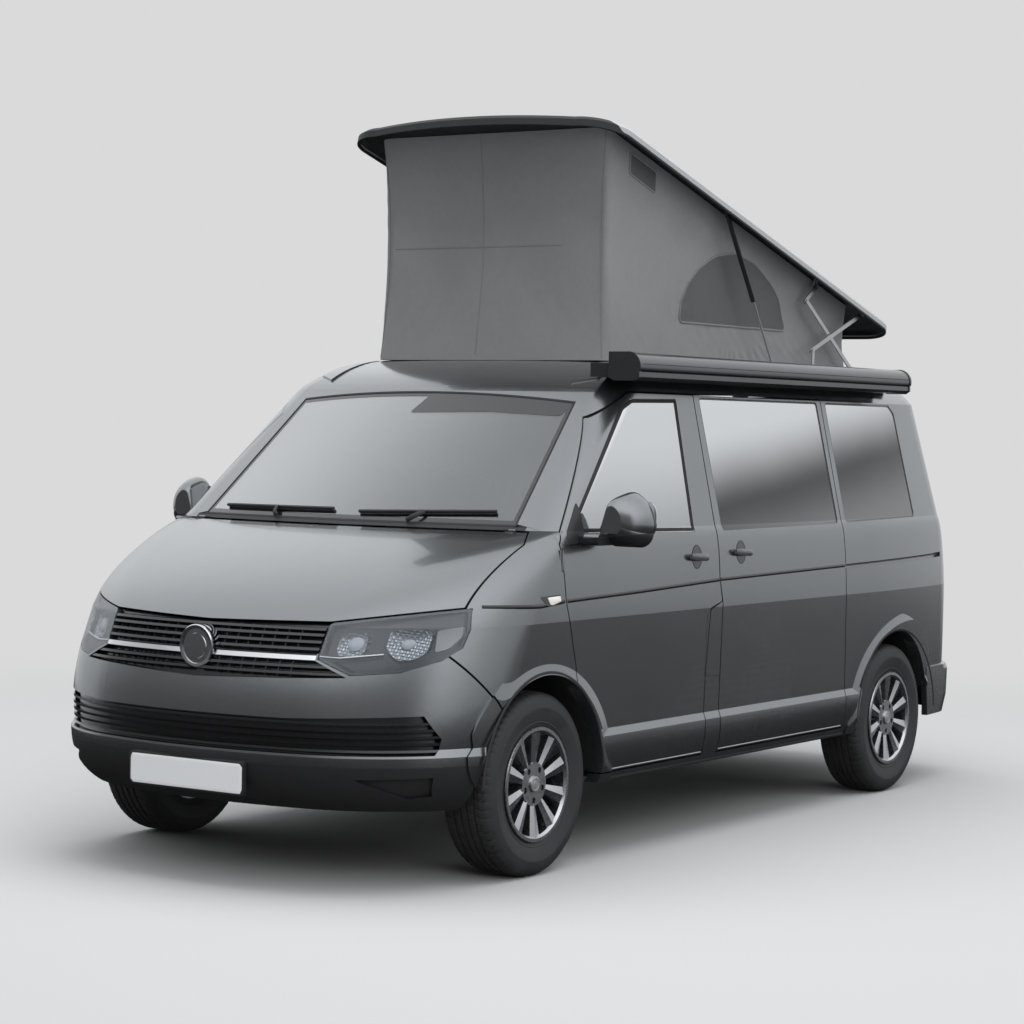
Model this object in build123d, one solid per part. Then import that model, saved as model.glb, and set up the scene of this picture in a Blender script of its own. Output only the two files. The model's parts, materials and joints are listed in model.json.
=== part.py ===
# Camper van with a front-lifting roof, in millimetres: X forward, Y to the left, Z up, ground at Z = 0.
# Each sub-part is one named node, written to parts/NODE.step.
from build123d import *
from math import atan2, cos, degrees, hypot, radians, sin, sqrt
import os

# ---------------------------------------------------------------- driving dimensions
GAP = 6                       # shut line between two panels that move apart
SEAT = 0.3                    # clearance of a piece that sits in or on another
WALL = 50                     # thickness of a side wall, a door, the tailgate or a pillar
ROOF_THICKNESS = 32           # roof panel with its lining
BONNET_THICKNESS = 26
BONNET_EDGE = 14              # the bonnet is this thin along its rear edge, to clear the cowl as it opens
BONNET_REBATE = 16
BUMPER_THICKNESS = 28
GLASS_SET = 3                 # how far a pane lies inside the skin
GLASS_THICKNESS = 6

WHEELBASE = 3000
FRONT_AXLE_X = 1546
REAR_AXLE_X = FRONT_AXLE_X - WHEELBASE
TRACK = 1628
TYRE_R = 340
TYRE_WIDTH = 215
BEAD_R = 203                  # bead seat of a 16 inch rim
RIM_FLANGE_R = 219
RIM_WIDTH = 178
SPOKES = 10
# The two ends of a spoke. Columns: radius, width, back y, face y, from the wheel's middle plane.
SPOKE_ENDS = [
    (70, 30, 50, 78),
    (197, 64, 62, 90),
]
SPOKE_RIDGE = 6
BARREL_THICKNESS = 12
HUB_R = 80
HUB_BACK_Y = -30
HUB_FACE_Y = 84
HUB_CAP_R = 30
BOLTS = 5
BOLT_CIRCLE_R = 60
BOLT_PIT_R = 11
BOLT_PIT_DEPTH = 22
ARCH_R = 405                  # wheel arch opening, about the axle
FLARE_R = 485                 # outer edge of the soft band round an arch
FLARE_LIP_Y = 952             # widest place of the body
FLARE_EDGE_Y = 938
FLARE_PROUD = 8               # most that a band stands out from the body
LINER_THICKNESS = 6
FRONT_TUB_Y = 495             # inner wall of the front wheel housings, clear of a steered tyre
REAR_TUB_Y = 560
TUB_LOW_Z = 350
LEG_R = 34                    # front suspension strut
KINGPIN_Y = 745
KINGPIN_R = 12
ARM_EYE_R = 26                # outer end of the lower arm, round the kingpin
ARM_LOW_Z = 245
ARM_TOP_Z = 275
STUB_R = 28
STUB_LENGTH = 40              # how far a stub axle reaches past the wheel's middle plane
RUNNING = 0.1                 # radial clearance of a wheel on its stub axle

ENGINE_LOW_Z = 320
SILL_Z = 305                  # lowest edge of the side
DOOR_Z = 345                  # lowest edge of the doors
FLOOR_Z = 530                 # top of the cabin floor
FLOOR_THICKNESS = 30
ROOF_SEAM_Z = 1812            # seam between body side and roof panel
COWL_Z = 1258                 # rear edge of the bonnet

# The body as horizontal sections. Columns: height, foremost x, crown radius of the nose, corner radius
# of the nose, half width, rearmost x, corner radius of the tail, crown radius of the tail.
SECTIONS = [
    (285, 2330, 1900, 600, 898, -2300, 280, 3500),
    (340, 2402, 1900, 640, 930, -2365, 300, 3500),
    (484, 2452, 1900, 650, 949, -2372, 310, 3500),
    (512, 2446, 1900, 650, 939, -2372, 310, 3500),
    (620, 2450, 1900, 650, 941, -2372, 310, 3500),
    (740, 2425, 1900, 650, 944, -2368, 310, 3500),
    (935, 2340, 1900, 650, 950, -2352, 310, 3500),
    (1010, 2262, 1950, 600, 949, -2342, 310, 3500),
    (1100, 2095, 2150, 480, 946, -2330, 310, 3500),
    (1190, 1855, 2700, 330, 939, -2316, 310, 3500),
    (1265, 1565, 3500, 130, 922, -2300, 310, 3500),
    (1790, 975, 2600, 150, 815, -2185, 330, 3200),
    (1850, 875, 2600, 170, 770, -2130, 330, 3200),
    (1900, 730, 2600, 180, 700, -2080, 300, 3200),
    (1922, 560, 2600, 180, 600, -1990, 260, 3200),
]
BODY_LOW_Z = SECTIONS[0][0]
BODY_TOP_Z = SECTIONS[-1][0]
SILL_CREASE_Z = (484, 512)    # the bright step along the sill
SIDE_CREASE_Z = 935           # crease along the side, level with the lower edge of the bonnet
BELT_Z = 1265
CANT_Z = 1790                 # where the roof starts to curve in
CREASES = [BODY_LOW_Z, *SILL_CREASE_Z, SIDE_CREASE_Z, BELT_Z, CANT_Z, BODY_TOP_Z]
TAPER_X = -1150               # behind this the sides draw in towards the tail
TAPER_R = 8000

# Side view outlines, (x, z)
FRONT_DOOR = [(1454, 1217), (1427, 1010), (1341, 757), (1330, 600), (1330, DOOR_Z), (361, DOOR_Z),
              (357, 660), (334, 930), (240, 960), (262, 1052), (283, 1791), (780, 1791), (983, 1688)]
SLIDING_DOOR = [(228, DOOR_Z), (228, 950), (255, 1052), (277, 1791), (-863, 1791), (-890, 1067),
                (-920, 600), (-920, DOOR_Z)]
DOOR_WINDOW = [(440, 1243), (424, 1774), (775, 1768), (850, 1738), (1330, 1302), (1330, 1258)]
MIDDLE_WINDOW = [(212, 1243), (238, 1783), (-827, 1783), (-852, 1252)]
REAR_WINDOW = [(-906, 1783), (-1590, 1783), (-1644, 1745), (-1695, 1266), (-928, 1254)]
WING = [(1460, 1290), (1460, 1210), (1433, 1010), (1347, 757), (1336, 600), (1336, 560), (1760, 560),
        (1873, 688), (2046, 846), (2046, 1290)]
BUMPER = [(1767, 554), (1879, 682), (2052, 840), (2700, 840), (2700, 451), (1700, 451), (1700, 554)]
VALANCE = [(1700, 285), (2700, 285), (2700, 451), (1700, 451)]

DASH_PROFILE = [(1461.7, 800), (1461.7, 1190), (1330, 1170), (1120, 1130), (1080, 1060), (1150, 820)]

# Front view outlines, (y, z), for the left half or symmetric
WINDSCREEN_BASE = (748, 1276)
WINDSCREEN_TOP = (664, 1752)
WINDSCREEN_CROWN_Z = 1786
HEADLAMP = [(496, 946), (489, 822), (610, 769), (748, 781), (838, 821), (874, 865), (880, 930), (868, 1002)]
BONNET_FRONT = [(-900, 1012), (-868, 1008), (-496, 952), (0, 941), (496, 952), (868, 1008), (900, 1012),
                (900, 1500), (-900, 1500)]
BONNET_PLAN = [(1380, 765), (1466, 802), (1590, 860), (1955, 850), (2700, 850)]
GRILLE = [(-600, 762), (-483, 816), (-490, 941), (0, 930), (490, 941), (483, 816), (600, 762), (0, 739)]
LOWER_GRILLE = [(-820, 632), (-400, 616), (400, 616), (820, 632), (856, 550), (846, 492), (-846, 492),
                (-856, 550)]
TAILGATE = [(-728, 580), (-736, 1110), (-705, 1500), (-650, 1760), (-610, 1822), (610, 1822), (650, 1760),
            (705, 1500), (736, 1110), (728, 580)]
TAILGATE_WINDOW = [(-640, 1240), (-650, 1300), (-585, 1745), (585, 1745), (650, 1300), (640, 1240)]
TAIL_LAMP = [(742, 800), (742, 1105), (1000, 1105), (1000, 800)]
TAIL_LAMP_X = -2215
NOSE_X = 1700                 # ahead of this is the nose
TAIL_X = -1500                # behind this is the tail
RAIL_SLOT = [(-893, 1052), (-893, 1074), (-2001, 1092), (-2001, 1070)]  # sliding door's rail, side view
RAIL_SLOT_DEPTH = 16
AIR_VENT = [(640, 408), (842, 414), (822, 345), (756, 336)]  # in the valance's corners, front view
AIR_VENT_DEPTH = 16

# Lifting roof, drawn closed and then raised about its pole
ROOF_POLE = (-2600, 1900)
ROOF_ANGLE = 15.5
SHELL_FRONT_X = 853
SHELL_REAR_X = -1941
SHELL_HALF_WIDTH = 665
SHELL_LOW_Z = 1932
SHELL_TOP_Z = 1989
SHELL_CEILING_Z = 1977
SHELL_WALL = 12
SHELL_CORNER_R = 170
HATCH = (-1500, 450, 470)     # opening in the roof panel: rear x, front x, half width
CANVAS_FRONT_X = 585
CANVAS_REAR_X = -1650
CANVAS_HALF_WIDTH = 572
CANVAS_THICKNESS = 14

# Pins of the roof linkage in the raised pose, (x, z), and the planes that the bars lie in, y
PIN_BASE = (-1608.9, 1942.2)      # long bar on the body
PIN_ELBOW = (-1129.5, 2245.2)     # long bar to upper link
PIN_SHELL_FRONT = (-1248.1, 2323.8)
PIN_SHELL_REAR = (-1658.2, 2208.1)
PIN_KNEE = (-1153.3, 2022.2)      # cross bar to lower link
PIN_FOOT = (-1152.1, 1942.2)      # lower link on the body
STRUT_TOP = (-328.7, 2585)
STRUT_FOOT = (-778, 1945)
BAR_WIDTH = 20
BAR_THICKNESS = 6
PIN_R = 5
PLANE_UPPER_LINK = 594
PLANE_LONG_BAR = 606
PLANE_CROSS_BAR = 618
PLANE_LOWER_LINK = 630
PLANE_STRUT = 620
# Plates under the shell that carry its pins. Columns: pin, inner y, outer y, plane of its bar.
SHELL_EARS = [
    (PIN_SHELL_FRONT, 580, 588, PLANE_UPPER_LINK),
    (PIN_SHELL_REAR, 624, 630, PLANE_CROSS_BAR),
    (STRUT_TOP, 632, 638, PLANE_STRUT),
]
# Feet on the roof panel. Columns: pin, inner y, outer y, plane of the bar that turns on it (0: an open eye).
LINKAGE_FEET = [
    (PIN_BASE, 591, 600, PLANE_LONG_BAR),
    (PIN_FOOT, 639, 645, PLANE_LOWER_LINK),
    (STRUT_FOOT, 625.5, 632, 0),
]
STRUT_TUBE_R = 11
STRUT_ROD_R = 5
STRUT_TUBE_LENGTH = 447

FOOT_HALF = 14                # half the length of a linkage foot
FOOT_LOW_Z = 1896             # linkage feet start inside the roof panel
HUMP_X = (560, 860)
HUMP_Y = (560, 690)
HUMP_TOP_Z = 1928
HUMP_PROUD = 16

AWNING = (-1528, 930, 806, 946, 1838, 1944)  # rear x, front x, inner y, outer y, lowest z, highest z

MIRROR_CENTRE = (1064, 1310)  # y, z
# Door mirror from its glass side forwards. Columns: x, scale of the outline, shift in y.
MIRROR_ROWS = [
    (1128, 0.95, 0),
    (1140, 1.00, 0),
    (1190, 0.97, -3),
    (1240, 0.80, -14),
    (1270, 0.50, -26),
]
MIRROR_FOOT = [(1432, 1216), (1310, 1222), (1284, 1260), (1284, 1366)]  # on the door, side view
MIRROR_FOOT_THICKNESS = 6
AWNING_LEAD = 34              # height of the lead bar at the foot of the cassette
AWNING_CAP = 14
AWNING_CAP_PROUD = 3

HINGE_R = 5
DOOR_HINGE = (1452, 941, 1122, 1198)   # x, y, lowest z, highest z
BONNET_HINGE = (1490, 1264, 700, 760)  # x, z, inner y, outer y
TAILGATE_HINGE = (-2160, 1828, 240, 300)
TAILGATE_EAR = 56             # reach of the tailgate's hinge ears into the panels
COWL_HALF_WIDTH = 790
COWL_THICKNESS = 70
COWL_X = 1460                 # rearmost x of the cowl
REAR_BUMPER_X = -1840         # foremost x of the rear bumper

FAR = 3000                    # beyond the van on any side


# ---------------------------------------------------------------- drawing helpers
def mirrored(points):
    """The points and their mirror images across the van's middle line, in order round the outline."""
    return points + [(x, -y) for x, y in reversed(points)]


def flipped(points):
    """The same front view outline on the other side."""
    return [(-y, z) for y, z in points]


def block(points, view, near, far, grow=0, round_r=0):
    """Prism with this outline in the side, front or plan view, between two stations along that view."""
    face = make_face(Polyline(*points, close=True).edges())
    if round_r:
        face = fillet(face.vertices(), round_r)
    if grow:
        face = offset(face, amount=grow, kind=Kind.INTERSECTION)
    planes = {
        "side": Plane(origin=(0, far, 0), x_dir=(1, 0, 0), z_dir=(0, -1, 0)),
        "front": Plane(origin=(near, 0, 0), x_dir=(0, 1, 0), z_dir=(1, 0, 0)),
        "plan": Plane(origin=(0, 0, near), x_dir=(1, 0, 0), z_dir=(0, 0, 1)),
    }
    return extrude(planes[view] * face, amount=far - near)


def box(x0, x1, y0, y1, z0, z1):
    """Box between two corners."""
    return Pos(x0, y0, z0) * Box(x1 - x0, y1 - y0, z1 - z0, align=(Align.MIN, Align.MIN, Align.MIN))


def drum(x, y0, y1, z, r):
    """Cylinder along Y."""
    return Pos(x, (y0 + y1) / 2, z) * Rot(90, 0, 0) * Cylinder(r, y1 - y0)


def group(*shapes):
    """Separate solids as one compound."""
    return Compound(children=[solid for shape in shapes for solid in shape.solids()])


def both(shape):
    """A left-hand shape and its mirror image as one compound."""
    return group(shape, mirror(shape, about=Plane.XZ))


# ---------------------------------------------------------------- body form
def circles_meet(c1, r1, c2, r2):
    """The two points where two circles cross."""
    dx, dy = c2[0] - c1[0], c2[1] - c1[1]
    d = hypot(dx, dy)
    a = (r1 * r1 - r2 * r2 + d * d) / (2 * d)
    h = sqrt(r1 * r1 - a * a)
    mx, my = c1[0] + a * dx / d, c1[1] + a * dy / d
    return [(mx + h * dy / d, my - h * dx / d), (mx - h * dy / d, my + h * dx / d)]


def direction(a, b):
    """Unit vector from a to b."""
    d = hypot(b[0] - a[0], b[1] - a[1])
    return (b[0] - a[0]) / d, (b[1] - a[1]) / d


def halfway(u, v):
    """Unit vector halfway between two unit vectors."""
    return direction((0, 0), (u[0] + v[0], u[1] + v[1]))


def along(c, u, r):
    """The point at distance r from c in direction u."""
    return c[0] + u[0] * r, c[1] + u[1] * r


def section(z, nose_x, nose_crown, nose_corner, half_width, tail_x, tail_corner, tail_crown, inset=0):
    """One horizontal section as a closed wire of ten tangent arcs and lines, moved in by the inset."""
    nose_c = (nose_x - nose_crown, 0)
    corner_y = half_width - nose_corner
    corner_c = (nose_c[0] + sqrt((nose_crown - nose_corner) ** 2 - corner_y ** 2), corner_y)
    taper_c = (TAPER_X, half_width - TAPER_R)
    tail_c = (tail_x + tail_crown, 0)
    meets = circles_meet(taper_c, TAPER_R - tail_corner, tail_c, tail_crown - tail_corner)
    heel_c = min(meets, key=lambda p: p[0])
    to_corner = direction(nose_c, corner_c)
    to_taper = direction(taper_c, heel_c)
    to_heel = direction(tail_c, heel_c)
    p0 = along(corner_c, to_corner, nose_corner - inset)
    m01 = along(corner_c, halfway(to_corner, (0, 1)), nose_corner - inset)
    p1 = (corner_c[0], half_width - inset)
    p2 = (TAPER_X, half_width - inset)
    m23 = along(taper_c, halfway((0, 1), to_taper), TAPER_R - inset)
    p3 = along(heel_c, to_taper, tail_corner - inset)
    m34 = along(heel_c, halfway(to_taper, to_heel), tail_corner - inset)
    p4 = along(heel_c, to_heel, tail_corner - inset)

    def left(p):
        return p[0], p[1], z

    def right(p):
        return p[0], -p[1], z

    return Wire([
        ThreePointArc(right(p0), (nose_x - inset, 0, z), left(p0)),
        ThreePointArc(left(p0), left(m01), left(p1)),
        Line(left(p1), left(p2)),
        ThreePointArc(left(p2), left(m23), left(p3)),
        ThreePointArc(left(p3), left(m34), left(p4)),
        ThreePointArc(left(p4), (tail_x + inset, 0, z), right(p4)),
        ThreePointArc(right(p4), right(m34), right(p3)),
        ThreePointArc(right(p3), right(m23), right(p2)),
        Line(right(p2), right(p1)),
        ThreePointArc(right(p1), right(m01), right(p0)),
    ])


def lofted(rows, inset=0, ruled=False):
    """The solid through these rows: flat between two of them, rounded through more unless ruled."""
    return Solid.make_loft([section(*row, inset=inset) for row in rows], ruled or len(rows) == 2)


def form(inset=0, low=BODY_LOW_Z, high=BODY_TOP_Z):
    """The body between two creases as one solid, moved in by the inset, with an edge at each crease."""
    bands = [(a, b) for a, b in zip(CREASES, CREASES[1:]) if low <= a and b <= high]
    solids = [lofted([row for row in SECTIONS if a <= row[0] <= b], inset) for a, b in bands]
    return solids[0].fuse(*solids[1:]) if len(solids) > 1 else solids[0]


def skin(thickness, set_in=0, ceiling=0):
    """A wall that follows the body from set_in inwards, with a roof where a ceiling is given."""
    inner = form(set_in + thickness)
    if ceiling:
        inner = inner & box(-FAR, FAR, -FAR, FAR, 0, ceiling)
    return form(set_in) - inner


def nose_skin(thickness, set_in=0):
    """The same wall round the nose alone, up to the lower edge of the bonnet."""
    nose = box(NOSE_X, FAR, -FAR, FAR, 0, FAR)
    return (form(set_in, high=BELT_Z) & nose) - form(set_in + thickness, high=BELT_Z)


def flares():
    """Soft bands round the wheel arches, thickest at the lip and gone at their outer edge."""
    low_y, lip_y = FLARE_EDGE_Y - WALL / 2, FLARE_LIP_Y
    profile = [(ARCH_R, low_y), (ARCH_R, lip_y), (FLARE_R, FLARE_EDGE_Y), (FLARE_R, low_y)]
    ring = revolve(make_face(Polyline(*profile, close=True).edges()), Axis.Y)
    ring = ring & box(-FAR, FAR, 0, FAR, SILL_Z - TYRE_R, FAR)
    rings = group(*[Pos(x, 0, TYRE_R) * ring for x in (FRONT_AXLE_X, REAR_AXLE_X)])
    return both(rings & form(-FLARE_PROUD))


CABIN = form(WALL + SEAT)
FLARES = flares()
BODY = skin(WALL, ceiling=BODY_TOP_Z - ROOF_THICKNESS) + FLARES
GLASS = form(GLASS_SET) - form(GLASS_SET + GLASS_THICKNESS)
TAIL = BODY & box(-FAR, TAIL_X, -FAR, FAR, 0, FAR)


# ---------------------------------------------------------------- openings shared by several panels
def arch(x, inner_y, r=ARCH_R, left=True):
    """Room for a wheel, from inner_y outwards."""
    y0, y1 = (inner_y, FAR) if left else (-FAR, -inner_y)
    return drum(x, y0, y1, TYRE_R, r) + box(x - r, x + r, y0, y1, 0, TYRE_R)


def arches(inner_y=FRONT_TUB_Y, grow=0):
    """All four wheel arches."""
    places = [(x, left) for x in (FRONT_AXLE_X, REAR_AXLE_X) for left in (True, False)]
    return [arch(x, inner_y, ARCH_R + grow, left) for x, left in places]


def windscreen_outline():
    """Front view of the windscreen, with its crowned upper edge."""
    (yb, zb), (yt, zt) = WINDSCREEN_BASE, WINDSCREEN_TOP
    return [
        Line((-yt, zt), (-yb, zb)), Line((-yb, zb), (yb, zb)), Line((yb, zb), (yt, zt)),
        ThreePointArc((yt, zt), (0, WINDSCREEN_CROWN_Z), (-yt, zt)),
    ]


def windscreen_block(grow=0):
    """Prism of the windscreen along X, ahead of the roof."""
    face = make_face(windscreen_outline())
    if grow:
        face = offset(face, amount=grow, kind=Kind.INTERSECTION)
    plane = Plane(origin=(700, 0, 0), x_dir=(0, 1, 0), z_dir=(1, 0, 0))
    return extrude(plane * face, amount=1000)


def bonnet_block(grow=0):
    """Everything above the lamps and grille, between the wings and ahead of the cowl."""
    plan = block(mirrored(BONNET_PLAN), "plan", 900, COWL_Z + grow, grow)
    return plan & block(BONNET_FRONT, "front", 1300, FAR, grow)


def tailgate_block(grow=0):
    return block(TAILGATE, "front", -FAR, -1900, grow)


def headlamp_blocks(grow=0):
    return [block(p, "front", 1850, FAR, grow) for p in (HEADLAMP, flipped(HEADLAMP))]


def lower_grille_block(grow=0):
    return block(LOWER_GRILLE, "front", 1950, FAR, grow)


def grille_block(grow=0):
    return block(GRILLE, "front", 2000, FAR, grow)


def cut(solid, tools):
    """Take the tools out of the solid one after another."""
    for tool in tools:
        solid = solid - tool
    return solid


# ---------------------------------------------------------------- body panels
def body_side():
    """Left body side: pillars, rear quarter, strip with the fuel flap, sill, roof rail."""
    zone = [(-FAR, 548), (REAR_BUMPER_X, 548), (REAR_BUMPER_X, SILL_Z), (1180, SILL_Z), (1300, 800),
            (1400, 1213), (1459, 1213), (1459, 1290), (1000, ROOF_SEAM_Z), (-FAR, ROOF_SEAM_Z)]
    side = BODY & block(zone, "side", 0, FAR)
    rear = arch(REAR_AXLE_X, REAR_TUB_Y)
    front = arch(FRONT_AXLE_X, FRONT_TUB_Y)
    return cut(side, [
        windscreen_block(), tailgate_block(GAP), rear, front,
        block(TAIL_LAMP, "front", -FAR, TAIL_LAMP_X), block(REAR_WINDOW, "side", 0, FAR, round_r=20),
        block(FRONT_DOOR, "side", 0, FAR, grow=GAP),
    ])


def side_left():
    slot = block(RAIL_SLOT, "side", 0, FAR) - form(RAIL_SLOT_DEPTH, SIDE_CREASE_Z, BELT_Z)
    return cut(SIDE, [block(SLIDING_DOOR, "side", 0, FAR, grow=GAP), slot])


def side_right():
    return mirror(SIDE - block(MIDDLE_WINDOW, "side", 0, FAR, round_r=20), about=Plane.XZ)


SIDE = body_side()
NOSE_FLARES = FLARES & box(NOSE_X, FAR, -FAR, FAR, 0, FAR)


def front_door():
    door = BODY & block(FRONT_DOOR, "side", 0, FAR)
    door = cut(door, [
        arch(FRONT_AXLE_X, FRONT_TUB_Y, ARCH_R), windscreen_block(GAP),
        block(DOOR_WINDOW, "side", 0, FAR, round_r=12),
        box(DOOR_HINGE[0] - 8, FAR, DOOR_HINGE[1] - 14, FAR, sum(DOOR_HINGE[2:]) / 2 - 1, DOOR_HINGE[3] + 3),
    ])
    hx, hy, z0, z1 = DOOR_HINGE
    middle = (z0 + z1) / 2
    web = box(hx - 18, hx, hy - 7, hy + 2, z0, middle - SEAT / 2)
    return door + web + Pos(hx, hy, (z0 + middle - SEAT / 2) / 2) * Cylinder(HINGE_R, middle - SEAT / 2 - z0)


def sliding_door():
    door = BODY & block(SLIDING_DOOR, "side", 0, FAR)
    return cut(door, [arch(REAR_AXLE_X, REAR_TUB_Y), block(MIDDLE_WINDOW, "side", 0, FAR, round_r=20)])


def roof_panel():
    rear, front, half = HATCH
    roof = BODY & box(-FAR, FAR, -FAR, FAR, ROOF_SEAM_Z, FAR)
    roof = cut(roof, [tailgate_block(GAP), windscreen_block(), box(rear, front, -half, half, 1700, FAR)])
    hx, hz, y0, y1 = TAILGATE_HINGE
    middle = (y0 + y1) / 2
    root = box(hx, hx + TAILGATE_EAR, y0, middle - SEAT / 2, hz + 1, hz + 5)
    ear = drum(hx, y0, middle - SEAT / 2, hz, HINGE_R) + root
    return roof + ear + mirror(ear, about=Plane.XZ)


def front_wing():
    wing = BODY & block(WING, "side", 0, FAR)
    hx, hy, z0, z1 = DOOR_HINGE
    middle = (z0 + z1) / 2
    wing = cut(wing, [bonnet_block(GAP), headlamp_blocks(SEAT)[0], arch(FRONT_AXLE_X, FRONT_TUB_Y),
                      box(0, FAR, -FAR, COWL_HALF_WIDTH + SEAT, 0, FAR),
                      box(hx - 12, hx + 8, hy - 12, FAR, z0 - 3, middle + 1)])
    web = box(hx, hx + 16, hy - 8, hy + 1, middle + SEAT / 2, z1)
    return wing + web + Pos(hx, hy, (middle + SEAT / 2 + z1) / 2) * Cylinder(HINGE_R, z1 - middle - SEAT / 2)


def bonnet():
    low, high = SIDE_CREASE_Z, BELT_Z
    rebate = form(BONNET_EDGE, low, high) & box(-FAR, FAR, -FAR, FAR, COWL_Z - BONNET_REBATE, FAR)
    lid = (form(0, low, high) & bonnet_block()) - form(BONNET_THICKNESS, low, high) - rebate
    hx, hz, y0, y1 = BONNET_HINGE
    middle = (y0 + y1) / 2
    root = box(hx, hx + 30, middle + SEAT / 2, y1, hz - 12, hz - 2)
    ear = drum(hx, middle + SEAT / 2, y1, hz, HINGE_R) + root
    return lid + ear + mirror(ear, about=Plane.XZ)


def front_bumper():
    bumper = (nose_skin(BUMPER_THICKNESS) + NOSE_FLARES) & block(BUMPER, "side", -FAR, FAR)
    bumper = cut(bumper, headlamp_blocks(SEAT) + [grille_block(SEAT), lower_grille_block()])
    return cut(bumper, [bonnet_block(GAP)] + arches()[:2])


def front_valance():
    high = SILL_CREASE_Z[0]
    outer = (form(0, high=high) + NOSE_FLARES) & block(VALANCE, "side", -FAR, FAR)
    vents = [block(p, "front", NOSE_X, FAR) for p in (AIR_VENT, flipped(AIR_VENT))]
    deep = form(AIR_VENT_DEPTH, high=high)
    valance = outer - form(BUMPER_THICKNESS, high=high)
    return cut(valance, [vent - deep for vent in vents] + arches()[:2])


def rear_bumper():
    """Bumper that wraps the tail from arch to arch, hollow below its step."""
    rows = [(320, -2385), (400, -2440), (525, -2452), (548, -2425)]
    levels = [(z, 2330, 1900, 650, 950, x, 345, 3500) for z, x in rows]
    outer = lofted(levels, ruled=True) & box(-FAR, REAR_BUMPER_X, -FAR, FAR, 0, FAR)
    inner = lofted(levels[:3], BUMPER_THICKNESS, ruled=True)
    shape = outer - inner - form(WALL, high=SIDE_CREASE_Z)
    return cut(shape, arches(REAR_TUB_Y)[2:])


def tailgate():
    lid = cut(BODY & tailgate_block(), [block(TAILGATE_WINDOW, "front", -FAR, -1900, round_r=20)])
    hx, hz, y0, y1 = TAILGATE_HINGE
    middle = (y0 + y1) / 2
    root = box(hx, hx + TAILGATE_EAR, middle + SEAT / 2, y1, hz - 14, hz - 1)
    ear = drum(hx, middle + SEAT / 2, y1, hz, HINGE_R) + root
    return lid + ear + mirror(ear, about=Plane.XZ)


def cowl():
    """Strip between bonnet and windscreen, with the fixed halves of the bonnet hinges."""
    low, high = SIDE_CREASE_Z, CANT_Z
    half = COWL_HALF_WIDTH
    zone = box(COWL_X, FAR, -half, half, COWL_Z + GAP, WINDSCREEN_BASE[1] - SEAT)
    strip = (form(0, low, high) & zone) - form(COWL_THICKNESS, low, high)
    hx, hz, y0, y1 = BONNET_HINGE
    middle = (y0 + y1) / 2
    strip = strip - both(box(hx - 8, FAR, middle, y1 + 1, 0, FAR))
    root = box(hx - 24, hx, y0, middle - SEAT / 2, hz - 1, hz + 5)
    ear = drum(hx, y0, middle - SEAT / 2, hz, HINGE_R) + root
    return strip + ear + mirror(ear, about=Plane.XZ)


# ---------------------------------------------------------------- glass and lamps
def pane(points, view, near, far, round_r):
    return GLASS & block(points, view, near, far, -SEAT, round_r)


def windscreen():
    return GLASS & windscreen_block(-SEAT)


def headlamps():
    return both(nose_skin(60) & block(HEADLAMP, "front", 1850, FAR))


def tail_lamps():
    return both(TAIL & block(TAIL_LAMP, "front", -FAR, TAIL_LAMP_X - SEAT, -SEAT))


# ---------------------------------------------------------------- grilles
SLAT_THICKNESS = 9
GRILLE_DEPTH = 24
GRILLE_BACK = 8
BADGE_Z = 844
BADGE_R = 78
TRIM_Z = (818, 834)
TRIM_BACK_X = 2335


def slatted(outline_block, heights):
    """A sheet with horizontal slats standing ahead of it, as one moulding."""
    outer, middle, inner = GRILLE_FORMS
    edges = [0] + [z + side * SLAT_THICKNESS / 2 for z in heights for side in (-1, 1)] + [2 * BELT_Z]
    gaps = [box(NOSE_X, FAR, -1000, 1000, edges[i], edges[i + 1]) for i in range(0, len(edges), 2)]
    return ((outer & outline_block) - inner) - (group(*gaps) - middle)


GRILLE_FORMS = [form(GLASS_SET + depth, high=BELT_Z) for depth in (0, GRILLE_DEPTH, GRILLE_DEPTH + GRILLE_BACK)]


def upper_grille():
    low, high = TRIM_Z
    grille = slatted(grille_block(-SEAT), [772, 796, 856, 880, 904, 924])
    seat = drum_x(TRIM_BACK_X, FAR, 0, BADGE_Z, BADGE_R + SEAT)
    return grille - seat


def drum_x(x0, x1, y, z, r):
    """Cylinder along X."""
    return Pos((x0 + x1) / 2, y, z) * Rot(0, 90, 0) * Cylinder(r, x1 - x0)


def grille_trim():
    strip = nose_skin(GRILLE_DEPTH, 0) & grille_block(-SEAT) & box(2000, FAR, -FAR, FAR, *TRIM_Z)
    badge = drum_x(TRIM_BACK_X + SEAT, 2386, 0, BADGE_Z, BADGE_R)
    return strip + badge


def lower_grille():
    return slatted(lower_grille_block(-SEAT), [508, 532, 556, 580, 604])


# ---------------------------------------------------------------- lifting roof
def raised(solid):
    """Turn a piece of the closed roof about the pole to the raised pose."""
    px, pz = ROOF_POLE
    return Pos(px, 0, pz) * Rot(0, -ROOF_ANGLE, 0) * Pos(-px, 0, -pz) * solid


def closed(point):
    """Where a point of the raised shell lies when the roof is closed."""
    px, pz = ROOF_POLE
    dx, dz = point[0] - px, point[1] - pz
    a = radians(ROOF_ANGLE)
    return px + dx * cos(a) + dz * sin(a), pz - dx * sin(a) + dz * cos(a)


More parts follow.
